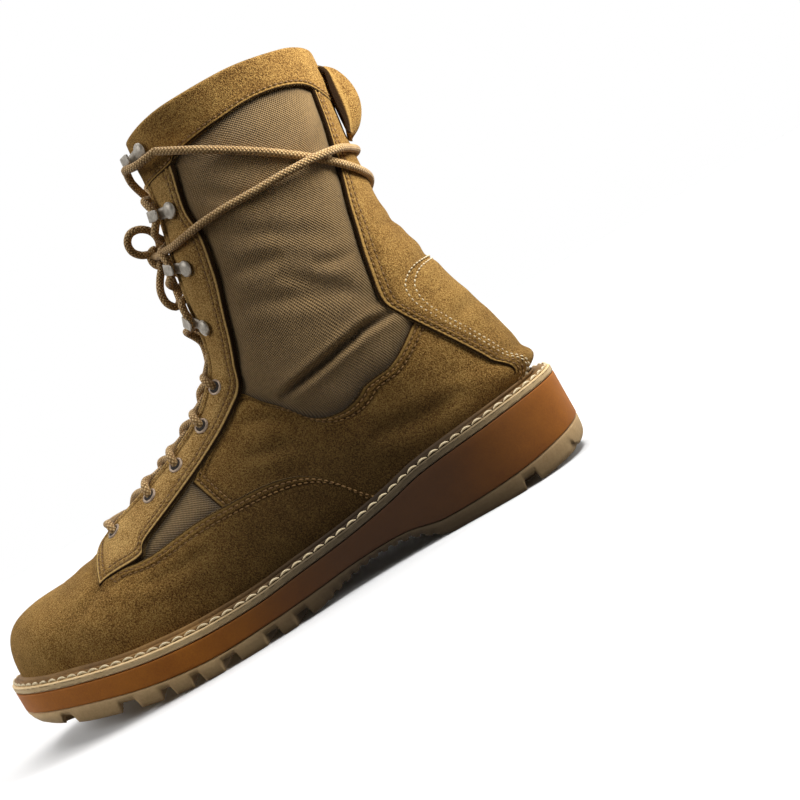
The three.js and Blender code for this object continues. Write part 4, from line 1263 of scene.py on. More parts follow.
# (section, round) along the outer side, from the toe end or from the bottom up
EYESTAY_REAR = [(1.3, .285), (1.55, .284), (2.27, .303), (2.55, .272), (4.02, .239), (6.06, .216),
                (7.45, .211), (10.06, .273), (11.58, .315), (12.71, .330), (13.55, .309), (14.87, .315)]
VAMP_TOP = [(1.5, .262), (1.7, .278), (2.39, .315), (3.48, .334), (4.52, .370), (5.16, .401),
            (5.46, .427), (5.59, .467), (5.54, .54), (5.5, .62)]
QUARTER_TOP = [(3.82, .245), (4.6, .205), (5.6, .195), (6.3, .19), (6.68, .207), (6.79, .253), (6.9, .291),
               (6.82, .329), (6.88, .357), (7.15, .385), (7.75, .433), (8.22, .466), (9.0, .55),
               (9.83, .647), (10.1, .70)]
BACKSTAY_EDGE = [(15.7, .845), (14.6, .82), (13.44, .779), (12.63, .738), (11.71, .685), (10.65, .633),
                 (10.2, .643), (9.81, .662), (8.78, .704), (7.8, .742), (6.95, .776), (6.6, .80)]
COLLAR_FOOT = [(14.65, .125), (14.85, .30), (15.03, .346), (15.25, .487), (15.39, .618), (15.38, .783),
               (15.2, .9), (15.1, 1.0)]
ANKLE_SEAM = (EYESTAY_REAR[5:] + [(15.03, .346), (15.25, .487), (15.39, .618), (15.38, .783), (15.3, .84)]
              + BACKSTAY_EDGE[1:6] + QUARTER_TOP[::-1][0:11])
FRONT_SEAM = [(2.27, .303), (2.55, .272), (3.82, .243), (3.97, .345), (3.48, .334), (2.39, .315)]

# The vamp's low edge runs up the toe's crest, where both sides join, and is free from its
# point VAMP_FREE on, along VAMP_TOP. The shares of the foot line lie opposite its points.
VAMP_CREST = [(-0.995, 0), (-0.8, 0), (-0.4, 0), (0.2, 0), (0.8, 0), (1.3, 0), (1.37, 0.05)]
VAMP_FREE = 5
VAMP_FOOT = [0, .06, .14, .235, .29, .34, .36, .385, .40, .45, .52, .60, .645, .67, .685, .70, .712]
QUARTER_FOOT = [.55, .58, .62, .66, .69, .72, .745, .76, .775, .79, .82, .85, .885, .925, .95]
EYESTAY_THROAT = [1.33, 1.55, 2.1, 2.5, 4.0, 6.06, 7.45, 10.06, 11.58, 12.71, 13.55, 14.87]
ANKLE_FRONT = [(5.6, .17), (7.45, .19), (10.06, .25), (12.71, .305), (15.5, .29)]
ANKLE_BACK = [(9.2, .73), (10.6, .68), (12.2, .75), (13.8, .82), (15.75, .87)]
WEDGE_LOW = [(2.0, .27), (4.2, .21)]
WEDGE_HIGH = [(2.0, .34), (4.2, .38)]
# The heel counter's sewn outline, and the point that its second row draws in towards.
COUNTER = np.array([
    (6.9, .845), (7.8, .80), (8.8, .762), (9.8, .722), (10.35, .705), (10.75, .715), (11.05, .75),
    (11.3, .81), (11.45, .9), (11.5, 1.0), (11.45, 1.1), (11.3, 1.19), (11.05, 1.25), (10.75, 1.285),
    (10.35, 1.295), (9.8, 1.278), (8.8, 1.238), (7.8, 1.20), (6.9, 1.155)])
COUNTER_MIDDLE = np.array([8.5, 1.0])
COUNTER_INSET = np.array([0.028, 0.085])

# line on the upper, depth, width, swell beside it
NYLON_CREASES = [
    ([(7.2, .29), (7.46, .310), (8.70, .407), (9.78, .514), (10.17, .601), (10.3, .64)], 4.2, 2.0, 1.0),
    ([(10.6, .33), (10.9, .45), (10.9, .56), (10.8, .63)], 1.0, 3.7, 0.5),
    ([(11.5, .34), (11.8, .42), (12.0, .50)], 0.8, 3.0, 0.5),
    ([(11.0, .60), (11.25, .52), (11.5, .46)], 0.9, 3.0, 0.4),
    ([(12.0, .70), (11.75, .62), (11.7, .55)], 0.8, 2.5, 0.4),
    ([(12.7, .36), (12.62, .45), (12.5, .56), (12.35, .66)], 0.6, 3.4, 0.4),
    ([(14.8, .80), (14.3, .72), (14.05, .64)], 1.0, 2.8, 0.5),
    ([(14.2, .79), (13.8, .71), (13.7, .66)], 0.7, 2.5, 0.4),
    ([(13.9, .35), (13.6, .45), (13.4, .52)], 0.5, 3.0, 0.4),
]
LEATHER_CREASES = [
    ([(1.9, .36), (2.6, .39), (3.4, .41)], 0.5, 3.0, 0.3),
    ([(0.9, .16), (0.95, .05), (0.9, -.08)], 0.7, 3.4, 0.4),
    ([(0.6, .34), (1.2, .30), (1.8, .31)], 0.5, 3.0, 0.3),
    ([(1.15, .30), (1.2, .15), (1.2, .0), (1.15, -.15)], 0.8, 3.2, 0.5),
    ([(4.9, .30), (5.4, .33), (6.0, .36)], 0.6, 3.0, 0.4),
    ([(5.6, .24), (6.1, .27), (6.5, .31)], 0.7, 2.6, 0.4),
    ([(6.6, .45), (7.0, .52), (7.4, .60)], 0.8, 4.0, 0.5),
    ([(10.9, .74), (11.4, .84), (11.6, 1.0), (11.4, 1.16), (10.9, 1.26)], 1.0, 3.4, 0.6),
    ([(12.4, .80), (12.6, .92), (12.6, 1.05)], 0.6, 2.8, 0.4),
    ([(9.6, .74), (9.9, .84), (10.0, .98)], 0.5, 3.2, 0.3),
]


def mirrored(points, shift=0.0):
    """The same line on the inner side of the boot, moved a little along it."""
    return [(s + shift, u) for s, u in points]


def seam_path(points, side):
    """A closed seam as points on the upper, close together."""
    loop = np.array(points + points[:1], float)
    line = np.concatenate([a + (b - a) * np.linspace(0, 1, 30, endpoint=False)[:, None]
                           for a, b in zip(loop, loop[1:])])
    return on_surface(line * [1, side])


def nylon_relief(seam, side, creases, puff):
    """Cloth held down at its seam and swollen between, with its creases, and painted shade
    along the seam and in the creases.
    """
    path = seam_path(seam, side)
    loop = np.array(seam)

    def relief(plain, s, u):
        inside = within(loop, s, u)
        away = distance_to(plain, [path])
        held = np.where(inside, 1 - np.exp(-away / 5.0), 0)
        folds = crease_field(plain, creases, side)
        # Painted shade along the seam and in the creases.
        dark = 0.85 * np.exp(-away / 2.2) + 0.75 * np.clip(-folds / 3.5, 0, 1) ** 1.3
        return held * (puff + folds), dark
    return relief


def leather_relief(side, tuck=0.0):
    """Soft creases in leather, which is drawn in by tuck near the sole, with painted shade in
    its creases and against the sole.
    """
    def relief(plain, *_):
        folds = crease_field(plain, LEATHER_CREASES, side)
        above = plain[..., 2] - sole_at(TOP, plain[..., 0])
        drawn = tuck * (1 - smooth_step(above, 0, 16))
        # Painted shade in the creases and against the sole.
        return folds - drawn, 0.25 * np.clip(-folds, 0, 1) + 0.5 * np.exp(-np.clip(above, 0, 99) / 2.2)
    return relief


def nose_patch(rings=9, around=49, tip=-0.9995):
    """The small patch that closes the vamp at the toe's tip, where the panels start a little
    behind it: rays from the tip to just past the panels' first border. It lies a little lower."""
    s_foot, u_foot = foot(0.0)
    first = VAMP_CREST[0][0]
    turn = np.linspace(-1, 1, around)[:, None]
    border = first + (s_foot - first) * np.abs(turn)
    s, u = np.broadcast_arrays(tip + (border - tip) * np.linspace(0, 1.04, rings), turn * u_foot)
    normal = upper_normal(s, u)
    points = upper_point(s, u) + normal * (VAMP_LIFT - 0.1)
    return points, normal, np.dstack([s * 30, u * 30]), 0 * s, 0 * s


def build_upper():
    """Every panel of the upper, on both sides, and the rows that its stitches follow, each
    with its height. The inner side's creases lie a little higher and are less deep."""
    tan, vamp, quarter, eyestay, nylon = [], [], [], [], []
    for side in (1, -1):
        creases = NYLON_CREASES if side > 0 else [(mirrored(line, 0.18), depth * 0.9, width, swell)
                                                   for line, depth, width, swell in NYLON_CREASES]
        ankle = Panel(through(ANKLE_FRONT), through(ANKLE_BACK), len(ANKLE_FRONT) - 1, side)
        nylon.append(ankle.build(NYLON_LIFT, 170, 110, free=(), rows=(),
                                 relief=nylon_relief(ANKLE_SEAM, side, creases, 2.7)))
        wedge = Panel(through(WEDGE_LOW), through(WEDGE_HIGH), 1, side)
        nylon.append(wedge.build(NYLON_LIFT, 50, 22, free=(), rows=(),
                                 relief=nylon_relief(FRONT_SEAM, side, [], 1.0)))
        toe = Panel(through(VAMP_CREST + VAMP_TOP), along_foot(VAMP_FOOT), len(VAMP_FOOT) - 1, side)
        vamp.append(toe.build(VAMP_LIFT, 150, 54, free=("low",), relief=leather_relief(side),
                              free_from=VAMP_FREE))
        rear = Panel(through(QUARTER_TOP), along_foot(QUARTER_FOOT), len(QUARTER_TOP) - 1, side)
        quarter.append(rear.build(QUARTER_LIFT, 130, 60, free=("low", "start"),
                                  relief=leather_relief(side)))
        throat = Panel(throat_edge(EYESTAY_THROAT), through(EYESTAY_REAR), len(EYESTAY_REAR) - 1, side)
        eyestay.append(throat.build(EYESTAY_LIFT, 190, 14, free=("low", "high", "start"),
                                    skirt=EYESTAY_SKIRT))
        for away in STITCH_ROWS:
            tan.append((throat.row("high", away, 6, 275), EYESTAY_LIFT))
            tan.append((throat.row("start", away, 3, 40), EYESTAY_LIFT))
            tan.append((rear.row("low", away, 60, 168), QUARTER_LIFT))
            tan.append((rear.row("start", away, 0, 40), QUARTER_LIFT))
            tan.append((toe.row("low", away, 122, 262), VAMP_LIFT))
        tan.append((throat.row("low", STITCH_ROWS[0], 4, 262), EYESTAY_LIFT))
    vamp.append(nose_patch())
    panel_piece("ankle_cloth", nylon, "nylon", "tongue_cloth")
    panel_piece("vamp_leather", vamp, "suede", "upper_suede", "upper")
    panel_piece("quarter_leather", quarter, "suede", "upper_suede")
    panel_piece("eyestay_leather", eyestay, "suede_painted_light_eyestay", "upper_suede")

    def other_side(at):
        return through(BACKSTAY_EDGE)(at) * [1, -1] + [0, 2]
    back = Panel(through(BACKSTAY_EDGE), other_side, len(BACKSTAY_EDGE) - 1)
    backstay = back.build(BACKSTAY_LIFT, 150, 60, relief=leather_relief(1, 2.2))
    panel_piece("backstay_leather", [backstay], "suede", "upper_suede")
    for edge in ("low", "high"):
        for away in STITCH_ROWS:
            tan.append((back.row(edge, away, 8, 205), BACKSTAY_LIFT))
    drawn_in = COUNTER + (COUNTER_MIDDLE - COUNTER) * COUNTER_INSET
    cream = [(smooth_line(line, 400), BACKSTAY_LIFT) for line in (COUNTER, drawn_in)]
    return cream, tan


CREAM_ROWS, TAN_ROWS = build_upper()

# -------------------- collar, lining, tongue

# The section on which the collar rolls over, how far inside the form its inner face lies,
# the throat's lowest section that it reaches, and millimetres in a section up there.
RIM_SECTION = LAST_ROW - 0.13
INNER_FACE = 5.2
COLLAR_START = 14.65
SECTION_HEIGHT = 19.0


def build_collar(columns=260, rolls=9, inside_rows=16):
    """The padded band round the top: from its lower edge up the outside, over the rim on an
    ellipse, and some way down inside. It stops at the throat on both sides. Returns the line
    of its stitches, read in each column at their distance from the lower edge."""
    outer_half = np.array(COLLAR_FOOT)
    foot_line = np.vstack([outer_half, outer_half[-2::-1] * [1, -1] + [0, 2]])
    throat = place_from_crest(np.array([COLLAR_START, LAST_ROW]),
                              throat_half(np.array([COLLAR_START, THROAT_END])))
    foot_line[0, 1], foot_line[-1, 1] = throat[0], 2 - throat[0]
    lower = smooth_line(foot_line, columns)
    width_up = np.linalg.norm(on_surface(lower) - upper_point(LAST_ROW, lower[:, 1]), axis=1)
    width_up = np.maximum(width_up, 1)
    share = spaced(width_up, 18, True, False)
    rim_u = np.linspace(throat[1], 2 - throat[1], columns)
    s = lower[:, :1] + (RIM_SECTION - lower[:, :1]) * share
    u = lower[:, 1:] + (rim_u[:, None] - lower[:, 1:]) * share
    away = share * width_up[:, None]
    end = np.minimum(np.arange(columns), np.arange(columns)[::-1])[:, None] * 1.3
    nearest = np.minimum(away, end)
    plain = upper_point(s, u)
    height = (COLLAR_PROUD - 0.3 + 0.5 * smooth_step(away, 5.5, 15) + edge_drop(nearest) + sway(plain) * 0.8
              + seam_groove(away, STITCH_ROWS[:1]))
    height[:, 0] = SKIRT
    outside = plain + upper_normal(s, u) * height[..., None]
    rim = upper_point(RIM_SECTION, rim_u)
    out = upper_normal(np.full(columns, RIM_SECTION), rim_u) * [1, 1, 0.15]
    top_height = height[:, -1]
    middle = (top_height - INNER_FACE) / 2
    reach = (top_height + INNER_FACE) / 2
    angle = np.linspace(0, np.pi, rolls + 2)[1:-1]
    bumps = 0.25 * np.sin(rim[:, 0] / 6.0) * np.sin(rim[:, 1] / 7.0)
    roll = (rim[:, None] + out[:, None] * (middle[:, None] + reach[:, None] * np.cos(angle))[..., None]
            + np.array([0, 0, 1.0]) * ((2.6 + bumps)[:, None] * np.sin(angle))[..., None])
    deep = np.linspace(RIM_SECTION, 14.75, inside_rows)
    s_in, u_in = np.broadcast_arrays(deep[None, :], rim_u[:, None])
    lift_in = -INNER_FACE + 0.8 * smooth_step(np.arange(inside_rows), inside_rows - 4, inside_rows - 1)
    inside = raised(s_in, u_in, np.broadcast_to(lift_in, s_in.shape))
    grid = np.concatenate([outside, roll, inside], axis=1)
    grid = np.concatenate([(grid[:1] + grid[:1, ::-1]) / 2, grid, (grid[-1:] + grid[-1:, ::-1]) / 2])
    rows, cols = grid.shape[:2]
    centre = np.array([75.0, -1.0, 220.0])
    outward = np.concatenate([outside - centre, roll - centre, centre - inside], axis=1)
    outward = np.concatenate([outward[:1], outward, outward[-1:]]).reshape(-1, 3)
    points = grid.reshape(-1, 3)
    faces = facing(points, grid_faces(rows, cols), outward)
    mark = np.pad(np.clip(1 - nearest / 4, 0, 1), ((1, 1), (0, cols - nearest.shape[1])))
    uv = np.dstack(np.broadcast_arrays(np.arange(rows)[:, None] * 1.3, np.arange(cols)[None, :] * 1.5))
    # Painted shade along the groove of the collar's stitch row.
    piece = make_mesh("collar_leather", points, faces, "suede", uv=uv.reshape(-1, 2),
                      fields={"edge": mark, "shade": 0.5 * np.exp(-((mark - 0.35) / 0.12) ** 2)})
    finish_piece(piece, "collar_suede", "collar")
    return np.array([[np.interp(STITCH_ROWS[0], away[k, 1:], table[k, 1:]) for table in (s, u)]
                     for k in range(3, columns - 3)])


def build_lining(columns=110):
    """The inner wall: for each section a closed loop from the throat round the back, on a
    face and back on a deeper one, and a single sheet round the toe ahead of the throat."""
    sections = np.concatenate([np.linspace(THROAT_START, 5, 12), np.linspace(5.2, 15.7, 60)])
    half = place_from_crest(sections, throat_half(sections))
    share = np.linspace(0, 1, columns)
    u = half[:, None] + (2 - 2 * half[:, None]) * share
    s = sections[:, None] + 0 * u
    folds = 0.5 * sway(upper_point(s, u))
    outer = raised(s, u, -4.0 + 0 * u)
    inner = raised(s, u, -4.9 + folds)
    points, quads, shape = slab(outer, inner)
    cap = slab_end(points, shape, -1, [0, 0, 1.0])
    uv = np.dstack(np.broadcast_arrays(np.arange(1, shape[1] + 1) * 2.4, s[:, :1] * 18))
    piece = make_mesh("lining_cloth", points, np.vstack([quads, cap]), "lining", uv=uv)
    finish_piece(piece, "insole_cloth")
    sections = np.concatenate([-np.cos(np.linspace(0.1, 1, 22) * np.pi / 2), np.linspace(0.1, 1.5, 12)])
    turn = np.linspace(-1, 1, 81)
    s, u = np.broadcast_arrays(sections[:, None], turn[None, :] * feather_at(sections)[:, None])
    points = raised(s, u, -3.6 + 0 * u).reshape(-1, 3)
    faces = facing(points, grid_faces(*s.shape), -upper_normal(s, u).reshape(-1, 3))
    uv = np.dstack([u * 120, s * 20]).reshape(-1, 2)
    finish_piece(make_mesh("toe_lining", points, faces, "lining", uv=uv), "insole_cloth")


def build_footbed(columns=26):
    """The footbed: ruled between both sides of the upper's inside, cupped at its borders."""
    line = feather_line(INSOLE, 260)[4:-4]
    left = raised(line[:, 0], line[:, 1], -INNER_FACE + 0 * line[:, 0])
    right = raised(line[:, 0], -line[:, 1], -INNER_FACE + 0 * line[:, 0])
    share = np.linspace(0, 1, columns)[None, :, None]
    top = left[:, None] * (1 - share) + right[:, None] * share
    cup = (2 * np.abs(share[..., 0] - 0.5)) ** 6 * 1.6
    top[..., 2] = sole_at(TOP, top[..., 0]) + INSOLE + cup
    under = top.copy()
    under[..., 2] = sole_at(TOP, under[..., 0]) + 0.4
    points, quads, (rows, cols) = slab(top, under)
    ends = np.array([np.arange(cols)[::-1], (rows - 1) * cols + np.arange(cols)])
    piece = make_mesh("footbed_cloth", points, [quads, ends], "footbed", uv=points[:, :2])
    finish_piece(piece, "insole_cloth", "insole")


def tongue_body(name, start, stop, grow, material, *nodes, columns=41):
    """The padded tongue between two heights: closed loops across the throat, a face and a
    back, thicker towards the top. Past the rim it goes straight up. grow makes it thicker and
    wider, and rounds its top over."""
    sections = np.linspace(start, stop, int((stop - start) * 9))
    inside = np.minimum(sections, LAST_ROW)
    past = np.maximum(sections - LAST_ROW, 0) * SECTION_HEIGHT
    half = throat_half(np.clip(inside, THROAT_START, THROAT_END)) + 15 + grow
    across = np.linspace(-1, 1, columns)
    u = place_from_crest(inside[:, None] + 0 * across, half[:, None] * across)
    s = inside[:, None] + 0 * u
    left = (stop - sections) * SECTION_HEIGHT
    close = np.sqrt(np.clip(1 - (1 - np.clip(left / TONGUE, 0, 1)) ** 2, 0.02, 1)) if grow > 0 else 1
    pad = 1.6 * smooth_step(sections, 14.2, 15.6) + 0.9
    plain = upper_point(s, u)
    thick = (TONGUE / 2 + pad + grow) * close
    middle = -TONGUE_DEPTH - TONGUE / 2 - 2.8 - 1.5 * smooth_step(sections, 14.5, 15.8)[:, None]
    edge = np.sqrt(np.clip(1 - np.abs(across) ** 8, 0.04, 1))
    folds = sway(plain * 1.3) * 0.9 * (1 - smooth_step(sections, 14.2, 15.0))[:, None]
    normal = upper_normal(s, u)
    up = np.array([0, 0, 1.0]) * past[:, None, None]
    face = plain + up + normal * (middle + thick[:, None] * edge + folds * edge)[..., None]
    back = plain + up + normal * (middle - thick[:, None] * edge)[..., None]
    points, quads, shape = slab(face, back)
    middles = points.reshape(shape + (3,)).mean(axis=1)
    caps = [slab_end(points, shape, 0, middles[0] - middles[1]),
            slab_end(points, shape, -1, middles[-1] - middles[-2])]
    uv = np.dstack(np.broadcast_arrays(half[:, None] * np.concatenate([across, across[::-1]]),
                                       sections[:, None] * 14))
    mark = np.zeros(len(points))
    piece = make_mesh(name, points, np.vstack([quads] + caps), material, uv=uv,
                      fields={"edge": mark, "shade": mark})
    return finish_piece(piece, "tongue_cloth", *nodes)


COLLAR_ROW = build_collar()
build_lining()
build_footbed()
tongue_body("tongue_cloth", 0.7, 15.35, 0.0, "nylon", "tongue")
tongue_body("tongue_binding", 15.1, 16.02, 0.45, "suede_binding")

# -------------------- stitches


def run_stitches(starts, stops, out, radius, rise, sink):
    """Short arched threads as low-sided bodies: each runs from start to stop, rises as half a
    sine between them and thins to its sunk ends."""
    t = np.linspace(0, 1, 6)
    thin = np.array([0.35, 0.85, 1, 1, 0.85, 0.35]) * radius
    lift = rise * np.sin(np.pi * t) - sink
    along = unit(stops - starts)
    side = unit(np.cross(along, out))
    up = np.cross(side, along)
    angle = np.linspace(0, 2 * np.pi, 6, endpoint=False)
    path = (starts[:, None] + (stops - starts)[:, None] * t[None, :, None]
            + up[:, None] * lift[None, :, None])
    ring = (np.cos(angle)[None, :, None] * side[:, None] + np.sin(angle)[None, :, None] * up[:, None])
    points = path[:, :, None] + ring[:, None] * thin[None, :, None, None]
    count, rings, sides = points.shape[:3]
    one = grid_faces(rings, sides, close_cols=True)
    base = (np.arange(count) * rings * sides)[:, None, None]
    quads = (one[None] + base).reshape(-1, 4)
    flat = points.reshape(-1, 3)
    a, b, c = (flat[quads[0, k]] for k in range(3))
    ends = np.stack([np.arange(sides)[::-1], (rings - 1) * sides + np.arange(sides)])
    ends = (ends[None] + base).reshape(-1, sides)
    if np.cross(b - a, c - a) @ (a - path[0].mean(axis=0)) < 0:
        return flat, quads[:, ::-1], ends[:, ::-1]
    return flat, quads, ends


def stitches_along(line, lift, pitch, length):
    """Starts, stops and outward directions of stitches along a (section, round) line. They lie
    in the groove of their row, and follow the leather's sway."""
    plain = on_surface(line)
    normal = upper_normal(line[:, 0], line[:, 1])
    points = plain + normal * (lift - 0.28 + sway(plain) * STITCH_ROWS[0] / 6)[:, None]
    gone = run_of(points)
    begin = np.arange(pitch / 2, gone[-1] - pitch, pitch)
    return (read_line(points, gone, begin), read_line(points, gone, begin + length),
            read_line(normal, gone, begin + length / 2))


def build_stitches(name, rows, material, pitch, length, radius, rise):
    """All the stitches of one thread as one object."""
    made = [stitches_along(line, lift, pitch, length) for line, lift in rows]
    starts, stops, out = (np.vstack([m[k] for m in made]) for k in range(3))
    points, quads, ends = run_stitches(starts, stops, out, radius, rise, 0.05)
    piece = make_mesh(name, points, [quads, ends], material)
    return finish_piece(piece, "upper_suede")


build_stitches("panel_stitches", TAN_ROWS, "tan_thread", 2.9, 2.1, 0.36, 0.3)
build_stitches("counter_stitches", CREAM_ROWS, "cream_thread", 2.6, 1.9, 0.4, 0.35)
build_stitches("collar_stitches", [(COLLAR_ROW, COLLAR_PROUD + 0.1)], "tan_thread", 2.9, 2.1, 0.36, 0.3)

# -------------------- welt


def foot_loop(height, count):
    """The line round the upper at a height above the sole's top: toe to heel on the outer
    side and back on the inner one."""
    line = feather_line(height, count)
    line = np.concatenate([line, line[-2:0:-1] * [1, -1]])
    return raised(line[:, 0], line[:, 1], np.full(len(line), 0.3))


def evened(values, times):
    """A ring of values smoothed: each becomes a weighted mean with its two neighbours."""
    for _ in range(times):
        values = (np.roll(values, 1, axis=0) + 2 * values + np.roll(values, -1, axis=0)) / 4
    return values


# The welt's section from the upper out to the end of its lip: distance out, height above the
# sole's top, and how far it follows the upper's lean. Then the ledge, by its share of the
# room up to the sole's border and the height.
WELT_PROFILE = [(-1.2, 0.4, 0), (-0.6, 2.7, .6), (0.1, 3.0, .6), (0.8, 2.95, .6), (1.3, 2.6, .55),
                (1.6, 2.1, .45), (1.75, 1.6, .3), (1.85, 1.1, .2), (2.0, 0.8, .1), (2.5, 0.9, 0),
                (3.3, 1.2, 0)]
WELT_LEDGE = [(0.45, 1.6), (0.8, 1.65), (0.94, 1.6), (0.985, 1.3), (1.0, 0.9), (1.0, 0.16)]


def build_welt(count=420):
    """A ledge and a rounded lip that hugs the upper: a profile carried round it, from the
    upper's side out to the ledge's edge over the sole."""
    points = foot_loop(1.0, count)
    lip_end = WELT_PROFILE[-1][0]
    edge_at = ((points[:, None, :2] - OUTLINE[None]) ** 2).sum(axis=2).argmin(axis=1)
    edge = OUTLINE[edge_at] + OUTLINE_IN[edge_at] * 2.4
    reach = edge - points[:, :2]
    room = evened(np.maximum(np.linalg.norm(reach, axis=1), lip_end + 0.1), 6)
    way = unit(reach)
    for _ in range(8):
        way = unit(evened(way, 1))
    top = sole_at(TOP, points[:, 0])
    upper_top = foot_loop(WELT + WELT_LIP, count)
    lean = ((upper_top[:, :2] - points[:, :2]) * way).sum(axis=1)
    rows = [points[:, :2] + way * (out + lean * share)[:, None] for out, _, share in WELT_PROFILE]
    rows += [points[:, :2] + way * (lip_end + (room - lip_end) * share)[:, None] for share, _ in WELT_LEDGE]
    rows.append(rows[0])
    heights = [top + high for _, high, _ in WELT_PROFILE]
    heights += [top + high for _, high in WELT_LEDGE + WELT_LEDGE[-1:]]
    grid = np.stack([np.column_stack([plan, z]) for plan, z in zip(rows, heights)], axis=1)
    flat = grid.reshape(-1, 3)
    quads = outside_out(flat, grid_faces(len(points), len(rows), True, True))
    finish_piece(make_mesh("welt_band", flat, quads, "welt_leather"), "welt_leather", "welt")


def build_welt_stitches(pitch=6.1, inset=1.9):
    """Thick thread round the sole's edge, each stitch a scallop that dips at its ends."""
    line = OUTLINE + OUTLINE_IN * inset
    line = np.vstack([line, line[:1]])
    line = np.column_stack([line, sole_at(TOP, line[:, 0]) + 0.55])
    gone = run_of(line)
    count = int(gone[-1] / pitch)
    begin = np.arange(count) * gone[-1] / count
    starts, stops = (read_line(line, gone, (begin + more) % gone[-1]) for more in (0.3, pitch - 0.3))
    out = np.tile([0, 0, 1.0], (count, 1))
    points, quads, ends = run_stitches(starts, stops, out, 0.66, 0.7, 0.3)
    finish_piece(make_mesh("welt_stitches", points, [quads, ends], "cream_thread"), "welt_leather")


build_welt()
build_welt_stitches()

# -------------------- eyelets and hooks

# How far the fittings stand off the form, and the top hooks on the collar.
FITTING_BASE = 1.25
TOP_HOOK_BASE = FITTING_BASE + COLLAR_PROUD - 0.4
EYELET_RIM_RADIUS = 3.2


def seat(row, side, lift=0.0):
    """A fitting's place: origin, and columns to the throat, across, and outwards."""
    section, out = LACING[row, :2]
    u = place_from_crest(section, side * out)
    normal = upper_normal(section, u)
    inward = upper_point(section, place_from_crest(section, side * (out - 3))) - upper_point(section, u)
    across = unit(np.cross(normal, inward))
    to_throat = np.cross(across, normal)
    return raised(section, u, np.array(lift)), np.stack([to_throat, across, normal])


def seated(points, row, side, lift=0.0):
    """Local points of a fitting put at its seat."""
    origin, axes = seat(row, side, lift)
    return np.asarray(points) @ axes + origin


def turned(profile, sides):
    """A profile of (radius, height) turned about the height axis."""
    profile = np.array(profile, float)
    angle = np.linspace(0, 2 * np.pi, sides, endpoint=False)
    ring = np.stack([np.cos(angle), np.sin(angle)], axis=1)
    return np.concatenate([
        profile[:, None, :1] * ring[None],
        np.broadcast_to(profile[:, None, 1:], (len(profile), sides, 1)),
    ], axis=2)


def at_eyelets(profile, closed, sides=40):
    """A turned profile set at every eyelet, as points and quads."""
    local = turned(profile, sides).reshape(-1, 3)
    one = outside_out(local, grid_faces(len(profile), sides, closed, True))
    seats = [(row, side) for row in range(EYELET_ROWS) for side in (1, -1)]
    points = np.vstack([seated(local + [0, 0, FITTING_BASE], *where) for where in seats])
    return points, np.vstack([one + k * len(local) for k in range(len(seats))])


def node_names(kind, count):
    """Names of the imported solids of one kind, outer side first, counted up the throat."""
    return [f"{kind}_{where}_{n}" for where in ("lateral", "medial") for n in range(1, count + 1)]


def build_eyelets():
    """Rolled eyelets: a half round rim on the leather and a barrel through the wall. A dark
    dish inside each is painted shade for the depth of its hole."""
    rim = [(EYELET_RIM_RADIUS + 0.75 * np.cos(a), 0.05 + 0.7 * np.sin(a)) for a in np.linspace(np.pi, 0, 9)]
    profile = [(2.65, -4.6), (2.4, -4.6)] + rim + [(3.85, -0.15), (2.8, -0.15)]
    points, quads = at_eyelets([(0, 0.5), (1.4, 0.5), (2.75, 0.62), (2.75, -0.5), (0, -0.5)], False)
    finish_piece(make_mesh("eyelet_hole_shade_dishes", points, quads, "painted_hole_shade"), "eyelet_metal")
    points, quads = at_eyelets(profile, True)
    piece = make_mesh("eyelet_rings", points, quads, "eyelet_steel")
    finish_piece(piece, "eyelet_metal", *node_names("eyelet", EYELET_ROWS))


def ribbon(path, across, width, thick, rounding=0.22):
    """A strap carried along a path in one plane: its section is a flat box with rounded long
    edges. Width varies along it."""
    path = np.asarray(path, float)
    tangent = unit(np.gradient(path, axis=0))
    across = np.broadcast_to(unit(np.asarray(across, float)), path.shape)
    out = np.cross(across, tangent)
    w = np.broadcast_to(width, len(path))[:, None] / 2
    h = thick / 2
    r = min(rounding, h * 0.9)
    section = np.array([(-1, -r, -h + r), (-1, 0, -h), (-.5, 0, -h), (0, 0, -h), (.5, 0, -h), (1, 0, -h),
                        (1, r, -h + r), (1, r, h - r), (1, 0, h), (.5, 0, h), (0, 0, h), (-.5, 0, h),
                        (-1, 0, h), (-1, -r, h - r)])
    x = section[:, 0] * (w - r) + section[:, 1]
    return path[:, None] + across[:, None] * x[..., None] + out[:, None] * section[None, :, 2:]


HOOK_THICK = 0.9
HOOK_BEND = 1.75
# The hook's strap: its width at some points of its path, and the dome's radius and height.
HOOK_WIDTH = ([0, 1, 3, 8, 18, 20, 22], [4.7, 5.6, 4.8, 4.6, 5.3, 5.1, 3.6])
DOME = [(0, 0.1), (3.65, 0.1), (3.9, 0.45), (3.95, 0.9), (3.8, 1.3), (3.3, 1.7), (2.6, 2.05),
        (1.6, 2.3), (0.7, 2.4), (0.0, 2.42)]


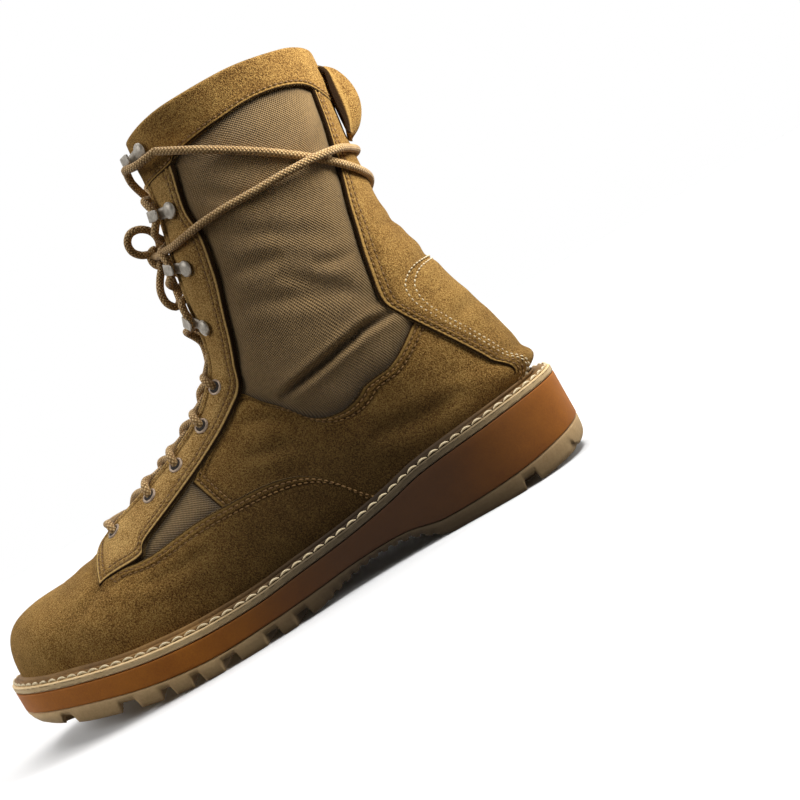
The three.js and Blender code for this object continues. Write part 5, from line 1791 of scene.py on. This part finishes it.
def build_hooks(sides=36):
    """Speed hooks: a riveted dome, and a strap that runs to the throat, turns up round a bend
    and comes back over the lace."""
    low = HOOK_THICK / 2
    high = low + 2 * HOOK_BEND
    path = [(x, 0, low) for x in (-3.4, 0, 4, 7.5)]
    path += [(10 + HOOK_BEND * np.cos(a), 0, low + HOOK_BEND + HOOK_BEND * np.sin(a))
             for a in np.linspace(-np.pi / 2, np.pi / 2, 15)]
    path += [(x, 0, high + more) for x, more in ((8, 0.1), (5.6, 0.25), (3.9, 0.55), (3.2, 0.8))]
    strap = ribbon(path, (0, 1, 0), np.interp(np.arange(len(path)), *HOOK_WIDTH), HOOK_THICK)
    dome = turned(DOME, sides) + [-1.8, 0, 0.2]
    points, quads, ends, start = [], [], [], 0
    for row in range(EYELET_ROWS, len(LACING)):
        for side in (1, -1):
            lift = TOP_HOOK_BASE if row == TOP_ROW else FITTING_BASE
            for shape in (strap, dome):
                local = (shape * [1, side, 1.0]).reshape(-1, 3)
                rows, cols = shape.shape[:2]
                faces = outside_out(local, grid_faces(rows, cols, close_cols=True))
                points.append(seated(local, row, side, lift))
                quads.append(faces + start)
                if shape is strap:
                    both = np.array([np.arange(cols)[::-1], (rows - 1) * cols + np.arange(cols)])
                    ends.append((both if faces[0, 1] == 1 else both[:, ::-1]) + start)
                start += len(local)
    piece = make_mesh("speed_hooks", np.vstack(points), [np.vstack(quads)] + ends, "hook_steel")
    finish_piece(piece, "hook_metal", *node_names("hook", len(LACING) - EYELET_ROWS))


build_eyelets()
build_hooks()

# -------------------- lacing


# The lace round a lower hook and up to a top one, in the hook's own directions.
PAST_HOOK = [(14, -8, 0.8), (10.8, -5.5, 2.2), (8.1, -2, 2.25), (8.1, 2, 2.25), (10.8, 5.5, 2.2),
             (14, 8, 0.8)]
TO_TOP_HOOK = [(15.5, 7.5, 0.8), (12.9, 4.2, 2.6), (9.6, 3.4, 4.8), (4.6, 4.6, 5.4), (-1.5, 5.6, 4.8)]


def lacing_half(side, above):
    """One half of the lace: from the middle of the lowest bar into the first eyelet, then
    from side to side up the throat. It comes up through an eyelet, goes over the throat's edge,
    across the tongue and under the other edge; higher up it runs round the hooks. Where the
    halves cross, one passes above the other, by turns."""
    section, out, throat = LACING[0, :3]
    points = [over(section - 0.2, 0, 2.8), over(section - 0.12, side * (throat - 1), 3.6),
              over(section, side * (out - 3.6), 4.0), over(section, side * (out - 0.6), 2.2),
              over(section, side * (out - 0.2), -2.6), over(section + 0.1, side * (throat - 2), -2.4)]
    for row in range(TOP_ROW):
        low, high = LACING[row], LACING[row + 1]
        here = side * (-1) ** row
        span = high[0] - low[0]
        lift = low[3] - 2.2 + (1.75 if (row + above) % 2 else -1.35)
        points.append(over(low[0] + 0.5 * span, here * 0.3, lift + (0.6 if row >= EYELET_ROWS else 0)))
        if row + 1 < EYELET_ROWS:
            points += [over(low[0] + 0.86 * span, -here * (high[2] - 3), -1.6),
                       over(high[0], -here * (high[1] - 0.9), -2.8),
                       over(high[0], -here * (high[1] - 1.2), 1.6),
                       over(high[0] + 0.03, -here * (high[1] - 3.4), 3.7),
                       over(high[0] + 0.08, -here * (high[2] + 0.6), 3.3),
                       over(high[0] + 0.18, -here * (high[2] - 3.2), 0.2)]
        elif row + 1 < TOP_ROW:
            down = np.sign(seat(row + 1, -here)[1][1][2])
            local = np.array(PAST_HOOK) * [1, down, 1]
            points += list(seated(local, row + 1, -here, FITTING_BASE))
        else:
            down = -np.sign(seat(row + 1, -here)[1][1][2])
            local = np.array(TO_TOP_HOOK) * [1, down, 1]
            points += list(seated(local, row + 1, -here, TOP_HOOK_BASE))
            wrap = WRAP_FROM_LATERAL if -here > 0 else WRAP_FROM_MEDIAL
            points.append(raised(*wrap[0]))
    return centripetal(points)


def build_lacing():
    """The lace through eyelets and hooks, both halves."""
    paths = [lacing_half(1, 0), lacing_half(-1, 1)]
    nodes = [f"lace_crossing_{n}" for n in range(1, len(LACING))]
    finish_piece(tube_piece("braid_lacing", paths, LACE / 2, "lace"), "lace_cord", *nodes)


build_lacing()

# -------------------- pull loop


# The strap's width and thickness, its line up the back as (along, up), and its sideways place.
PULL_WIDTH = 20.0
PULL_THICK = 2.0
PULL_LINE = [[30, 185.4], [26, 190.8], [23.2, 199], [22.6, 208], [23.4, 215.2], [24.8, 217.4],
             [27.4, 218.2]]
PULL_SIDE = -1.0


def build_pull_loop(columns=25):
    """A suede strap at the back, bowed outwards across its width, most at half height. Its
    borders are thickened and thinned to a round, and its top swells to a fold."""
    path = centripetal([[x, PULL_SIDE, z] for x, z in PULL_LINE])
    share = run_of(path)[:, None] / run_of(path)[-1]
    tangent = unit(np.gradient(path, axis=0))
    out = np.cross([0, 1.0, 0], tangent)
    out = out * np.sign(-out[:, :1])
    side = np.linspace(-1, 1, columns)[None, :]
    bow = (5.5 - 11.0 * side ** 2) * np.sin(np.pi * share) ** 0.8
    border = 1 - np.sqrt(np.clip(1 - (np.clip(np.abs(side) - 0.9, 0, 1) / 0.1) ** 2, 0, 1))
    fold = 0.9 * smooth_step(share, 0.9, 0.98)
    swell = 1.35 - 0.35 * smooth_step(1 - np.abs(side), 0.02, 0.2)
    half = PULL_THICK / 2 * swell * (1 - 0.8 * border) + fold
    centre = path[:, None] + np.array([0, 1.0, 0]) * (side * PULL_WIDTH / 2)[..., None]
    face = centre + out[:, None] * (bow + half)[..., None]
    back = centre + out[:, None] * (bow - half)[..., None]
    flat, faces, shape = slab(face, back)
    caps = [slab_end(flat, shape, 0, -tangent[0]), slab_end(flat, shape, -1, tangent[-1])]
    mark = np.clip(1 - (1 - np.abs(side)) * PULL_WIDTH / 8, 0, 1) + 0 * share
    mark = np.concatenate([mark, mark[:, ::-1]], axis=1).ravel()
    uv = np.dstack(np.broadcast_arrays(flat[:, 1].reshape(shape), run_of(path)[:, None]))
    piece = make_mesh("pull_strap", flat, np.vstack([faces] + caps), "suede", uv=uv,
                      fields={"edge": mark, "shade": 0 * mark})
    finish_piece(piece, "webbing", "pull_loop")


build_pull_loop()
